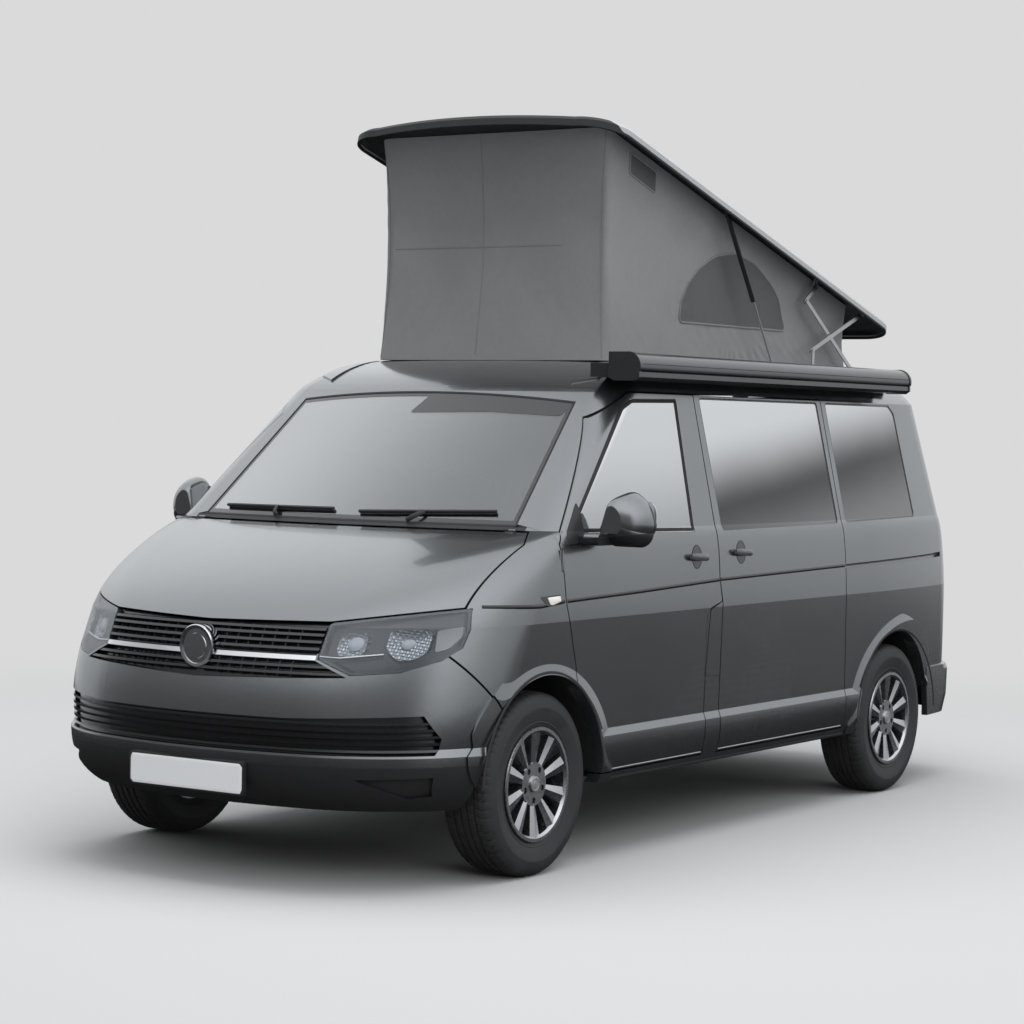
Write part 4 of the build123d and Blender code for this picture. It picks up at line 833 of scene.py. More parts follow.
# %% Lines and handles
GROOVE_FRONT = [(1.890, 1.004), (1.600, 0.998), (1.440, 1.010)]
GROOVE_DOOR = [(1.420, 1.010), (0.900, 1.024), (0.262, 1.046)]
GROOVE_SLIDER = [(0.249, 1.047), (-0.400, 1.058), (-0.884, 1.066)]
groove_shape = dict(width=0.017, rise=0.0018, sunk=0.0002)
both("wing_groove", [strip(GROOVE_FRONT, side_skin, **groove_shape)], SIDES, *GLOSS)
both("door_groove", [strip(GROOVE_DOOR, side_skin, **groove_shape)], DOORS, *GLOSS)
make_piece("slider_groove", [strip(GROOVE_SLIDER, side_skin, **groove_shape)], BODY, *GLOSS)
SEAM_LINES = [
    [(-0.905, 1.214), (-1.500, 1.224), (-2.120, 1.236)],
    [(0.357, 0.660), (0.357, 0.905), (0.330, 0.935), (0.236, 0.957)],
    [(0.357, 0.660), (0.236, 0.652)],
]
seams = [strip(line, side_skin, width=0.0035, rise=0.0006, sunk=0.0001, step=0.012) for line in SEAM_LINES]
make_piece("seam_lines", seams, BODY, *RUBBER)
GRIP_HALF, GRIP_OUT, GRIP_BOW, GRIP_SIZE = 0.068, 0.012, 0.010, (0.0080, 0.0145)
FOOT_STEPS = np.array([(0, 0.0), (0.008, 0.0), (0.008, 0.016), (0, 0.016)])


def handle(x, z):
    """Floor and rim of the pocket at (x, z) on the side, and the bowed grip with its two feet."""
    oval = ring(0.040, 0.048, 48) + [x, z]
    pocket = band(oval, 0.003, side_skin, 0.0012, 0.003)
    floor = patch(inset(oval, 0.002), side_skin, 0.0004, 0.004)
    share = np.linspace(-1, 1, 25)
    spine = side_skin(x + GRIP_HALF * share, z + 0.004 * share)
    spine[:, 1] += GRIP_OUT + GRIP_BOW * (1 - share ** 4)
    width = GRIP_SIZE[1] * (1 - 0.35 * share ** 6)
    t = around(16)
    grip = np.stack([spine[:, None, 0] + 0 * t, spine[:, None, 1] + GRIP_SIZE[0] * np.cos(t),
                     spine[:, None, 2] + width[:, None] * np.sin(t)], -1)
    feet = [revolved(FOOT_STEPS, side_skin(x + dx, z)[0], 14) for dx in (-0.054, 0.054)]
    return floor, pocket, [closed_ends(grip)] + feet


HANDLES = {"door_handle": (0.445, 1.143, DOORS), "slider_handle": (0.075, 1.152, LEFT_ONLY)}
for title, (x, z, bodies) in HANDLES.items():
    floor, pocket, grip = handle(x, z)
    both(title + "_pocket", [floor], bodies, *GLOSS)
    both(title + "_edge", [pocket], bodies, *RUBBER, wrap_rows=True)
    both(title, grip, bodies, moulded("grip_" + title, (0.055, 0.058, 0.06), rough=0.35, coat=0.6), "plastic")

# %% [markdown]
# ## Side indicator
# The indicator is a dark wedge with a pale lens, at the front of the groove.

# %% Indicator
wedge = mm((1608, 1032), (1470, 1036), (1462, 1010), (1520, 996), (1556, 996))
both("indicator_base", [patch(smooth(wedge, 0.006, 5, 0.006), side_skin, 0.0016, 0.006)], SIDES, *GLOSS)
lens = mm((1562, 1028), (1474, 1031), (1468, 1012), (1520, 1001), (1540, 1001))
indicator_lens = moulded("indicator_lens", (0.62, 0.60, 0.57), rough=0.2, grain=300, coat=0.8)
both("indicator_lens", [patch(smooth(lens, 0.004, 5, 0.005), side_skin, 0.0032, 0.004, dome=0.002)], SIDES,
     indicator_lens, "lamp")

# %% [markdown]
# ## Headlamps
# A clear cover follows the skin of the nose. Behind it lie a dark housing, a round lamp with a glass
# dome, a large faceted reflector and a bright line that carries on from the grille.

# %% Headlamps
HEADLAMP = mm((496, 946), (489, 822), (610, 769), (748, 781), (838, 821), (874, 865), (880, 930), (868, 1002))
lamp_outline = smooth(HEADLAMP, 0.012, 6, 0.008)


def faceted_mirror(name):
    """Bright reflector: its facets are a product of waves in y and z that tilts the normal."""
    f = Finish(name)
    x, y, z = f.axes()
    across = f.wave(y * 420.0)
    upward = f.wave(z * 300.0 + y * 60.0)
    facets = f.step(across * upward, -0.5, 0.5)
    return f.surface(facets, (0.62, 0.63, 0.65), (0.92, 0.93, 0.94), facets, 0.006, metallic=1.0,
                     roughness=0.12 + 0.10 * facets)


def housing_grey(name):
    """Lamp housing: dark satin plastic with fine upright ribs."""
    f = Finish(name)
    x, y, z = f.axes()
    ribs = f.step(f.wave(y * 1400.0), -1.0, 1.0)
    return f.surface(ribs, (0.030, 0.031, 0.033), (0.075, 0.077, 0.080), ribs, 0.0003, roughness=0.3,
                     coat_weight=0.5, coat_roughness=0.1)


reflector_chrome = faceted_mirror("lamp_reflector")
lamp_housing = housing_grey("lamp_housing")
cover = patch(inset(lamp_outline, 0.0006), nose_skin, -0.0004, 0.0035, rings=28)
covers = make_piece("headlamp_covers", [cover, flip_y(cover)], BODY, lens_clear, "lamp")
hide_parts("headlamps")
back = patch(inset(lamp_outline, 0.0010), nose_skin, -0.034, 0.024, rings=28)
rim_wall = np.stack([nose_skin(*loop.T, lift) for loop, lift in (
    (inset(lamp_outline, 0.0010), -0.0045), (inset(lamp_outline, 0.0090), -0.0050),
    (inset(lamp_outline, 0.0105), -0.0340), (inset(lamp_outline, 0.0010), -0.0340))])
both("headlamp_housing", [back], SIDES, lamp_housing, "plastic")
both("headlamp_bezel", [rim_wall], SIDES, lamp_housing, "plastic", wrap_rows=True)
BIG_LAMP = mm((690, 925), (790, 930), (800, 905), (796, 850), (772, 826), (728, 822), (700, 850), (688, 870))
SMALL_LAMP = mm((545, 912), (628, 916), (632, 852), (612, 832), (548, 836), (540, 860))
reflectors = [patch(smooth(shape, 0.012, 6, 0.006), nose_skin, -0.010, 0.034, rings=16, dome=-0.018)
              for shape in (BIG_LAMP, SMALL_LAMP)]
both("headlamp_reflectors", reflectors, SIDES, reflector_chrome, "chrome")
DOMES = (0.024, (0.592, 0.876)), (0.017, (0.742, 0.878))
domes = [patch(ring(r, r, 40) + centre, nose_skin, -0.018, 0.008, rings=12, dome=0.010)
         for r, centre in DOMES]
both("headlamp_domes", domes, SIDES, moulded("lamp_dome", (0.50, 0.51, 0.53), rough=0.12, coat=1.0), "lamp")
LAMP_LINE = [(0.492, 0.829), (0.560, 0.826), (0.640, 0.836), (0.690, 0.842)]
line = strip(LAMP_LINE, nose_skin, 0.011, 0.004, sunk=0.006, out=(1.0, 0.0, 0.0), step=0.008)
both("headlamp_line", [line], SIDES, chrome, "chrome")
OUTER_LAMP = mm((806, 926), (858, 938), (862, 905), (840, 862), (812, 850))
side_lamp = patch(smooth(OUTER_LAMP, 0.008, 6, 0.006), nose_skin, -0.016, 0.020, rings=12, dome=-0.006)
both("headlamp_side_lamp", [side_lamp], SIDES, moulded("side_lamp", (0.30, 0.29, 0.28), rough=0.25, coat=0.8),
     "lamp")

# %% [markdown]
# ## Number plates and badge
# Both plates are blank: a pale slab in a black frame. The badge is a plain disc with turned rings.

# %% Plates and badge


def slab(half_y, z0, z1, x0, x1, edge=0.004):
    """Flat plate facing along X with eased edges: four loops from its face to its back."""
    face = [(-half_y, z0), (half_y, z0), (half_y, z1), (-half_y, z1)]
    loop = smooth(face, 0.012, 6, 0.02)
    sign = np.sign(x1 - x0)
    rows = [(inset(loop, edge * 3), x1), (inset(loop, edge), x1), (loop, x1 - sign * edge * 0.5), (loop, x0)]
    grid = np.stack([np.column_stack([np.full(len(p), x), p]) for p, x in rows])
    return closed_ends(grid)


def plate_white(name):
    """Pale reflective sheet: fine cells that vary the gloss."""
    f = Finish(name)
    cells = f.noise(900, 1)
    return f.surface(cells, (0.62, 0.63, 0.64), (0.72, 0.73, 0.74), cells, 0.00005,
                     roughness=0.35 + 0.1 * cells, coat_weight=0.4)


plate_sheet = plate_white("plate_sheet")
PLATES = {"front": (0.335, 0.449, 2.436, 2.452, BODY), "rear": (0.640, 0.752, -2.366, -2.378, TAILGATE)}
for title, (low, high_z, back_x, face_x, body) in PLATES.items():
    out_way = np.sign(face_x - back_x)
    border = slab(0.267, low - 0.004, high_z + 0.004, back_x, face_x - out_way * 0.0015)
    sheet = slab(0.259, low + 0.003, high_z - 0.003, back_x + out_way * 0.004, face_x)
    make_piece(f"plate_{title}_frame", [border], body, *PLASTIC)
    make_piece(f"plate_{title}", [sheet], body, plate_sheet, "plastic")

BADGE_STEPS = np.array([(0, 0.008), (0.044, 0.008), (0.046, 0.005), (0.062, 0.005), (0.064, 0.010),
                        (0.074, 0.011), (0.0775, 0.007), (0.0775, 0.0), (0, 0.0)])
BADGE_Z, BADGE_OUT = 0.844, 0.012
badge_x = float(nose_skin(0.0, BADGE_Z)[0, 0]) + BADGE_OUT
badge = revolved(BADGE_STEPS, (badge_x, 0.0, BADGE_Z), 72, axis=0)
make_piece("badge", [badge], BODY, bare_metal("badge_metal", (0.74, 0.75, 0.77), rough=0.18, along=(1, 1, 1)),
           "chrome", wrap_rows=True, wrap_cols=False)

# %% [markdown]
# ## Tyres and wheels
# A tyre's section is a curve of radius against width. Round the tread its radius drops where a groove
# runs round the tyre or a slot crosses a shoulder; low rings stand on the sidewalls.

# %% Tyres and wheels
TYRE_TURNS, TYRE_R, HALF_TRACK = 400, 0.340, 0.814
FRONT_AXLE, REAR_AXLE = 1.546, -1.454
RING_GROOVES = np.array([-0.045, -0.015, 0.015, 0.045])
GROOVE_HALF, RING_DEPTH, SLOT_DEPTH, SHOULDER_DEPTH, SLOT_COUNT = 0.0038, 0.0070, 0.0045, 0.0035, 68
BEAD_TO_TREAD = np.array([(0.2035, 0.0885), (0.2235, 0.0945), (0.2290, 0.0975), (0.2320, 0.0968),
                          (0.2550, 0.1035), (0.2780, 0.1072), (0.2820, 0.1078), (0.2860, 0.1070),
                          (0.3050, 0.1040), (0.3160, 0.1000), (0.3260, 0.0935), (0.3320, 0.0880),
                          (0.3365, 0.0800), (0.3385, 0.0700)])


def tread_section():
    """Points (r, h) from the left bead over the tread to the right bead."""
    top = np.linspace(0.066, -0.066, 57)
    crown = np.stack([0.3398 - 0.0006 * (top / 0.066) ** 2, top], 1)
    side = np.concatenate([BEAD_TO_TREAD, crown, BEAD_TO_TREAD[::-1] * [1, -1]])
    inner = np.array([(0.2035, -0.074), (0.3220, -0.080), (0.3220, 0.080), (0.2035, 0.074)])
    return np.concatenate([side, inner])


def tyre_grid(x, y):
    """The section turned round the axle, lower in ring grooves, leaning slots and shoulder cuts."""
    section = tread_section()
    turn = around(TYRE_TURNS)[:, None]
    r, h = section[None, :, 0], section[None, :, 1]
    grooves = np.min(np.abs(h[..., None] - RING_GROOVES), -1) < GROOVE_HALF
    on_tread = (r > 0.3355) & (np.abs(h) < 0.083)
    lean = SLOT_COUNT * turn + 90 * np.abs(h) * np.sign(h + 1e-9)
    slots = (np.abs(np.sin(lean / 2)) < 0.17) & (np.abs(h) > 0.018)
    cuts = np.abs(np.sin(SLOT_COUNT * turn / 2)) < 0.22
    shoulder = (r > 0.322) & (r < 0.3390) & (np.abs(h) > 0.066) & cuts
    drop = np.where(on_tread & grooves, RING_DEPTH, np.where(on_tread & slots, SLOT_DEPTH, 0.0))
    radius = r - np.where(shoulder, SHOULDER_DEPTH, drop)
    return np.stack([x + radius * np.cos(turn), y + h + 0 * turn, TYRE_R + radius * np.sin(turn)], -1)


def tyre_rubber(name):
    """Rubber with dust in slow patches, which greys and roughens it."""
    f = Finish(name)
    dust = f.noise(14, 4)
    fine = f.noise(800, 2)
    return f.surface(dust, (0.014, 0.014, 0.015), (0.030, 0.030, 0.031), fine, 0.0001,
                     roughness=0.62 + 0.2 * (dust - 0.5))


tread_rubber = tyre_rubber("tyre_rubber")
bolt_metal = moulded("wheel_bolt", (0.03, 0.03, 0.032), rough=0.3, coat=0.3)
WHEELS = {"fl": (FRONT_AXLE, 1), "fr": (FRONT_AXLE, -1), "rl": (REAR_AXLE, 1), "rr": (REAR_AXLE, -1)}
BOLT_ANGLES = np.radians(90 + 36 + 72 * np.arange(5))
BOLT_CIRCLE = 0.060
BOLT_STEPS = np.array([(0, 0.892), (0.0062, 0.892), (0.0085, 0.889), (0.0085, 0.876), (0, 0.876)])
CAP_STEPS = np.array([(0, 0.9062), (0.012, 0.9060), (0.013, 0.9050), (0.022, 0.9050), (0.023, 0.9058),
                      (0.0285, 0.9050), (0.0292, 0.9035), (0.0292, 0.9000), (0, 0.9000)])
turned = dict(wrap_rows=True, wrap_cols=False)
for corner, (axle_x, side) in WHEELS.items():
    tyre = make_piece(f"tyre_{corner}_tread", [tyre_grid(axle_x, side * HALF_TRACK)],
                      BODY_OF[f"tyre_{corner}"], tread_rubber, "tyre", wrap_rows=True, crisp=28)
    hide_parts(f"tyre_{corner}")
    centres = [(axle_x + BOLT_CIRCLE * np.cos(a), 0, TYRE_R + BOLT_CIRCLE * np.sin(a)) for a in BOLT_ANGLES]
    bolts = [revolved(BOLT_STEPS * [1, side], centre, 6) for centre in centres]
    cap = revolved(CAP_STEPS * [1, side], (axle_x, 0, TYRE_R), 48)
    make_piece(f"wheel_bolts_{corner}", bolts, BODY_OF[f"rim_{corner}"], bolt_metal, "black_steel", **turned)
    make_piece(f"wheel_cap_{corner}", [cap], BODY_OF[f"rim_{corner}"], bar_metal, "alloy", **turned)

# %% [markdown]
# ## Door mirrors and wipers
# Each mirror's glass faces back, a rounded box drawn by powers of a sine and a cosine. The wipers lie
# along the foot of the windscreen, their arms humped like half a wave.

# %% Mirrors and wipers
MIRROR_AT, MIRROR_HALF, SQUARENESS = (1.064, 1.310), (0.101, 0.085), 0.62


def egg(scale):
    """Outline of the mirror glass from behind: half (sign c |c|^p, sign s |s|^p) for cosine c and sine s."""
    t = around(64)
    ways = np.stack([np.cos(t), np.sin(t)], 1)
    return np.array(MIRROR_AT) + np.array(MIRROR_HALF) * scale * np.sign(ways) * np.abs(ways) ** SQUARENESS


def facing_x(outline, x_face, x_back, dome=0.0):
    """Slab facing backwards, its face domed by 1 - s^2 along X."""
    s = np.linspace(0, 1, 10)[:, None, None]
    flat = outline.mean(0) + s * (outline - outline.mean(0))[None]
    front = np.concatenate([x_face - dome * (1 - s ** 2) + 0 * flat[..., :1], flat], -1)
    rear = np.concatenate([x_back + 0 * flat[..., :1], flat], -1)
    return np.concatenate([front, rear[::-1]])


mirror_glass = bare_metal("mirror_glass", (0.80, 0.82, 0.84), rough=0.04, along=(1, 1, 1), depth=0.0)
both("mirror_glass", [facing_x(egg(0.86), 1.1262, 1.1300, dome=0.0015)], DOORS, mirror_glass, "chrome")


def rod_over(skin, start, end, lift, hump, profile, way=1.0, count=50):
    """A rod over a skin on a straight line from start to end, raised by lift + hump sin(pi t)."""
    line = straight(start, end, count)
    raised = lift + hump * np.sin(np.pi * np.linspace(0, 1, count))
    return rod(skin(line[:, 0], line[:, 1], raised), [way, 0, 0], profile)


WIPERS = {"left": ((0.300, 1.2865), (0.060, 1.3140), (0.640, 1.3300)),
          "right": ((-0.330, 1.2865), (-0.640, 1.3160), (-0.070, 1.3200))}
for title, (pivot, blade_start, blade_end) in WIPERS.items():
    middle = (np.array(blade_start) + np.array(blade_end)) / 2
    blade = rod_over(nose_skin, blade_start, blade_end, 0.010, 0.0, ring(0.007, 0.008, 10))
    arm = rod_over(nose_skin, pivot, middle, 0.016, 0.012, ring(0.010, 0.006, 10))
    make_piece(f"wiper_{title}", [blade, arm], BODY, *PLASTIC)

# %% [markdown]
# ## Arch edges, door feet and rear lamps
# A black lip lines each wheel arch and a thin bright line runs along the foot of the doors. A pale band
# and a dark edge cross the rear lamps, and the tailgate gets its handle and wiper.

# %% Arch edges, door feet and rear lamps
ARCH_R, WIDEST_Y = 0.4115, 0.9490


def arch_lip(axle_x):
    """A bead carried round the arch: the point at angle a is the axle plus R (cos a, sin a), on the skin."""
    a = np.radians(np.linspace(4, 176, 90))
    x, z = axle_x + ARCH_R * np.cos(a), TYRE_R + ARCH_R * np.sin(a)
    y = np.maximum(side_skin(x, z)[:, 1], WIDEST_Y)
    spine = np.stack([x, y + 0.0005, z], 1)
    return rod(spine, [0, 1.0, 0], ring(0.0075, 0.0022, 10))


both("arch_lips", [arch_lip(FRONT_AXLE), arch_lip(REAR_AXLE)], SIDES, *PLASTIC)
FOOT_LINES = {"door": ([(1.134, 0.352), (0.366, 0.352)], DOORS),
              "slider": ([(0.222, 0.352), (-0.900, 0.352)], LEFT_ONLY)}
for title, (line, bodies) in FOOT_LINES.items():
    foot_line = strip(line, side_skin, 0.006, 0.0018, sunk=0.0002)
    both(f"{title}_foot_line", [foot_line], bodies, bar_metal, "chrome")
sill_trim = strip([(1.128, 0.318), (0.200, 0.315), (-0.960, 0.315)], side_skin, 0.022, 0.0030, sunk=0.0002)
both("sill_trim", [sill_trim], SIDES, *PLASTIC)
slide_bar = strip([(-0.905, 1.0640), (-1.995, 1.0825)], side_skin, 0.008, 0.0040, sunk=0.012)
make_piece("slide_bar", [slide_bar], BODY, *GLOSS)
LAMP_Y = (0.752, 0.822)
LAMP_BANDS = {"clear": (0.925, 0.975, moulded("rear_clear_lens", (0.30, 0.29, 0.29), rough=0.15, coat=0.9)),
              "upper": (1.085, 1.098, moulded("rear_lamp_edge", (0.05, 0.004, 0.004), rough=0.3, coat=0.6))}
for title, (low, high_z, finish) in LAMP_BANDS.items():
    outline = [(LAMP_Y[0], low), (0.800, low), (LAMP_Y[1], low), (LAMP_Y[1], high_z), (0.800, high_z),
               (LAMP_Y[0], high_z)]
    glassy = patch(smooth(outline, 0.006, 5, 0.006), tail_skin, 0.0012, 0.004)
    both(f"rear_lamp_{title}", [glassy], SIDES, finish, "red_lens")
REFLECTOR = [(0.560, 0.420), (0.700, 0.420), (0.700, 0.450), (0.560, 0.450)]
reflex = patch(smooth(REFLECTOR, 0.006, 5, 0.006), tail_skin, 0.0020, 0.004)
both("rear_reflectors", [reflex], SIDES, red_lens, "red_lens")
HANDLE_EDGE = [(-0.150, 0.800), (0.150, 0.800), (0.150, 0.842), (-0.150, 0.842)]
rear_handle = patch(smooth(HANDLE_EDGE, 0.015, 6, 0.01), tail_skin, 0.010, 0.012, dome=0.004)
make_piece("tailgate_handle", [rear_handle], TAILGATE, *GLOSS)
WIPER_HUB = (0.0, 1.262)
rear_arm = rod_over(tail_skin, WIPER_HUB, (-0.420, 1.300), 0.014, 0.006, ring(0.008, 0.006, 10), way=-1.0,
                    count=40)
HUB_STEPS = np.array([(0, 0.0), (0.020, 0.0), (0.020, -0.022), (0.012, -0.026), (0, -0.026)])
rear_hub = revolved(HUB_STEPS, tail_skin(*WIPER_HUB)[0], 24, axis=0)
make_piece("rear_wiper", [rear_arm, rear_hub], TAILGATE, *PLASTIC)

# %% [markdown]
# ## Grille ribs
# Short upright ribs stand between the slats of the upper grille, set back from their front edges.

# %% Grille ribs


def rib(y, low, high_z):
    """A thin upright blade at y, following the nose 12 mm inside its skin."""
    spine = nose_skin(y, np.linspace(low, high_z, 12), -0.012)
    return rod(spine, [1.0, 0, 0], ring(0.0018, 0.006, 8))


RIB_Y = np.concatenate([np.arange(-0.440, -0.090, 0.050), np.arange(0.100, 0.445, 0.050)])
ribs = [rib(float(y), low, high_z) for y in RIB_Y for low, high_z in ((0.845, 0.930), (0.760, 0.812))]
make_piece("grille_ribs", ribs, BODY, *GLOSS)

# %% [markdown]
# ## Seats
# Every cushion is one closed grid: a rounded loop across the seat, carried from side to side and drawn
# in at both ends. Stitched lines press into it, and piping follows them.

# %% Seats


def leaning(points, at, lean):
    """Turns points about the Y axis by the lean, then moves them: x' = x cos - z sin, z' = x sin + z cos."""
    c, q = np.cos(np.radians(lean)), np.sin(np.radians(lean))
    x, y, z = points[..., 0], points[..., 1], points[..., 2]
    return np.stack([x * c - z * q, y, x * q + z * c], -1) + np.array(at)


def cushion_loop(half_x, half_z, round_r):
    """Rounded rectangle in the seat's length and height, evenly spaced."""
    corners = [(-half_x, -half_z), (half_x, -half_z), (half_x, half_z), (-half_x, half_z)]
    return smooth(corners, round_r, 8, 0.008)


STITCH = 0.007


def cushion(half, round_r, at, lean=0.0, middle=(0, 0), stitches=(), cross=()):
    """Sections shrink as (1 - |v|^9)^(1/9) sideways; a stitch of depth D presses in D exp(-(d / D)^2)."""
    half_x, half_y, half_z = half
    loop = cushion_loop(half_x, half_z, round_r)
    v = np.sin(np.linspace(-np.pi / 2, np.pi / 2, 91)) * 0.9995
    size = (1 - np.abs(v) ** 9) ** (1 / 9)
    press = np.zeros((len(v), len(loop)))
    for line in stitches:
        press = press + np.exp(-((v[:, None] * half_y - line) / STITCH) ** 2)
    crossed = np.abs(v[:, None] * half_y) < 0.145
    for line in cross:
        press = press + np.exp(-((loop[None, :, 0] - line) / STITCH) ** 2) * crossed
    swell = 0.0015 * (1 - v[:, None] ** 2) * np.abs(np.sin(6 * v[:, None]))
    reach = np.linalg.norm(loop, axis=1)[None, :]
    scale = size[:, None] * (1 - (STITCH * np.clip(press, 0, 1) - swell) / np.maximum(reach, 0.05))
    wrinkle = 0.0012 * np.sin(40 * loop[None, :, 0] + 9 * v[:, None]) * np.sin(31 * loop[None, :, 1] + 5)
    scale = scale + wrinkle
    grid = np.stack([loop[None, :, 0] * scale, v[:, None] * half_y + 0 * scale, loop[None, :, 1] * scale], -1)
    grid = grid + np.array([middle[0], 0, middle[1]])
    return closed_ends(leaning(grid, at, lean))


def piping(half, round_r, at, offset, lean=0.0, middle=(0, 0)):
    """A cord along the loop of a cushion at one distance from its middle plane."""
    loop = cushion_loop(half[0] + 0.001, half[2] + 0.001, round_r)
    path = np.stack([loop[:, 0] + middle[0], np.full(len(loop), offset), loop[:, 1] + middle[1]], 1)
    path = leaning(path, at, lean)
    side = np.broadcast_to([0, 1.0, 0], path.shape)
    lift = np.cross(tangents(path, True), side)
    r = ring(0.003, 0.003, 8)
    return path[:, None] + r[None, :, :1] * side[:, None] + r[None, :, 1:] * lift[:, None]


def block_shape(x0, x1, y0, y1, z0, z1, edge=0.012):
    """A box with eased upright corners and eased rims, as one grid."""
    loop = smooth([(x0, y0), (x1, y0), (x1, y1), (x0, y1)], edge * 2, 6, 0.03)
    rows = [(inset(loop, edge), z0), (loop, z0 + edge), (loop, z1 - edge), (inset(loop, edge), z1)]
    return closed_ends(np.stack([np.column_stack([p, np.full(len(p), z)]) for p, z in rows]))


SEAT_X, SEAT_LEAN, BENCH_LEAN, FLOOR_Z = 0.380, 14, 12, 0.531
seat_grids, seat_piping, seat_frames = [], [], []
for seat_y in (0.420, -0.420):
    cushion_at, back_at = (SEAT_X + 0.250, seat_y, 0.830), (SEAT_X + 0.020, seat_y, 0.860)
    seat_grids.append(cushion((0.250, 0.240, 0.070), 0.060, cushion_at, stitches=(-0.150, 0.150),
                              cross=(0.0, 0.12)))
    seat_grids.append(cushion((0.065, 0.235, 0.300), 0.055, back_at, SEAT_LEAN, (-0.005, 0.300),
                              (-0.150, 0.150)))
    seat_grids.append(cushion((0.045, 0.120, 0.085), 0.040, back_at, SEAT_LEAN, (0.0, 0.715),
                              (-0.080, 0.080)))
    for offset in (-0.225, 0.225):
        seat_piping.append(piping((0.245, 0.24, 0.066), 0.058, cushion_at, offset))
        seat_piping.append(piping((0.061, 0.235, 0.295), 0.052, back_at, offset, SEAT_LEAN, (-0.005, 0.300)))
    seat_frames.append(block_shape(SEAT_X + 0.060, SEAT_X + 0.440, seat_y - 0.190, seat_y + 0.190, FLOOR_Z,
                                   0.764))
    for post_y in (-0.045, 0.045):
        post = revolved(np.array([(0, 0.590), (0.007, 0.590), (0.007, 0.650), (0, 0.650)]), (0, post_y, 0),
                        14, axis=2)
        seat_frames.append(leaning(post, back_at, SEAT_LEAN))
front_cushions = make_piece("front_seat_cushions", seat_grids, BODY, seat_cloth, "upholstery")
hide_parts("front_seats")
seat_trim = moulded("seat_piping", (0.16, 0.162, 0.165), rough=0.7)
make_piece("front_seat_piping", seat_piping, BODY, seat_trim, "upholstery", wrap_rows=True)
make_piece("front_seat_frames", seat_frames, BODY, *PLASTIC)
bench_grids, bench_piping = [], []
for bench_y in (-0.210, 0.290):
    base_at, rest_at = (-1.285, bench_y, 0.840), (-1.540, bench_y, 0.880)
    bench_grids.append(cushion((0.275, 0.249, 0.060), 0.050, base_at, stitches=(-0.120, 0.120),
                               cross=(-0.1, 0.1)))
    bench_grids.append(cushion((0.070, 0.249, 0.280), 0.055, rest_at, BENCH_LEAN, (-0.010, 0.280),
                               (-0.120, 0.120)))
    bench_piping.append(piping((0.272, 0.249, 0.057), 0.050, base_at, 0.236))
    bench_piping.append(piping((0.067, 0.249, 0.276), 0.052, rest_at, 0.236, BENCH_LEAN, (-0.010, 0.280)))
bench_cushions = make_piece("rear_bench_cushions", bench_grids, BODY, seat_cloth, "upholstery")
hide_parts("rear_bench")
make_piece("rear_bench_piping", bench_piping, BODY, seat_trim, "upholstery", wrap_rows=True)
make_piece("rear_bench_box", [block_shape(-1.558, -1.012, -0.458, 0.538, FLOOR_Z, 0.779)], BODY, grey_board,
           "furniture")

# %% [markdown]
# ## Awning
# A fine dark groove runs along the awning's case, above its lead bar.

# %% Awning groove
GROOVE_Z = 1.900
awning_line = np.stack([np.linspace(-1.505, 0.905, 60), np.full(60, 0.9462), np.full(60, GROOVE_Z)], 1)
make_piece("awning_groove", [rod(awning_line, [0, 1.0, 0], ring(0.0016, 0.0010, 8))], BODY, rubber,
           "anodised")

# %% [markdown]
# ## Tent cloth
# The tent is one sleeve of cloth from the body roof to the lifted shell. Its points run round the van
# and up from the roof; the cloth hangs slightly hollow between its edges, and diagonal folds run from
# the corners that pull on it. Sums of slow waves give the folds, so the result is the same each time.

# %% Tent cloth
TENT_FRONT_X, TENT_REAR_X, TENT_HALF_Y, TENT_CORNER = 0.585, -1.650, 0.572, 0.060
TENT_FOOT_Z = 1.9232
TENT_TOP_RISE = 0.0755
TENT_ROWS, CLOTH_STEP, TOP_GAP = 96, 0.009, 0.002
WINDOW_EDGE = np.array([(-0.045, 2.105), (-0.058, 2.190), (-0.107, 2.264), (-0.200, 2.338), (-0.350, 2.402),
                        (-0.516, 2.427), (-0.690, 2.395), (-0.878, 2.307), (-0.960, 2.230), (-1.014, 2.107)])
WINDOW_MIDDLE = np.array([-0.530, 2.210])


def tent_top(x):
    """Underside of the raised shell over x: a plane with the roof's tilt."""
    return ROOF_POLE[2] + (x - ROOF_POLE[0]) * np.tan(ROOF_TILT) + TENT_TOP_RISE / np.cos(ROOF_TILT)


def tent_folds(run, high):
    """Depth of the folds: crossed slow waves, strongest halfway up."""
    diagonal = np.sin(9.0 * run + 7.0 * high + 1.3 * np.sin(3.1 * run))
    steep = np.sin(23.0 * run - 11.0 * high + 2.0 * np.sin(2.3 * run + 1.0))
    fine = np.sin(61.0 * run + 17.0 * np.sin(4.0 * high) + 3.0) * np.sin(5.0 * high + 2.0 * run)
    return 4 * high * (1 - high) * (0.0030 * diagonal + 0.0016 * steep + 0.0008 * fine)


def window_pull(x, z):
    """Puckers round the side window: waves in the angle about its middle, fading with the distance r - r0."""
    dx, dz = x - WINDOW_MIDDLE[0], z - WINDOW_MIDDLE[1]
    angle = np.arctan2(dz, dx)
    away = np.hypot(dx / 1.9, dz) - 0.235
    fade = np.exp(-np.clip(away, 0, None) / 0.05) * np.clip(1 + away / 0.03, 0, 1)
    pucker = np.sin(29 * angle + 2.0 * np.sin(5 * angle)) * (0.6 + 0.4 * np.sin(3 * angle + 1))
    return 0.0042 * fade * pucker * np.clip(0.35 - np.sin(angle), 0, 1)


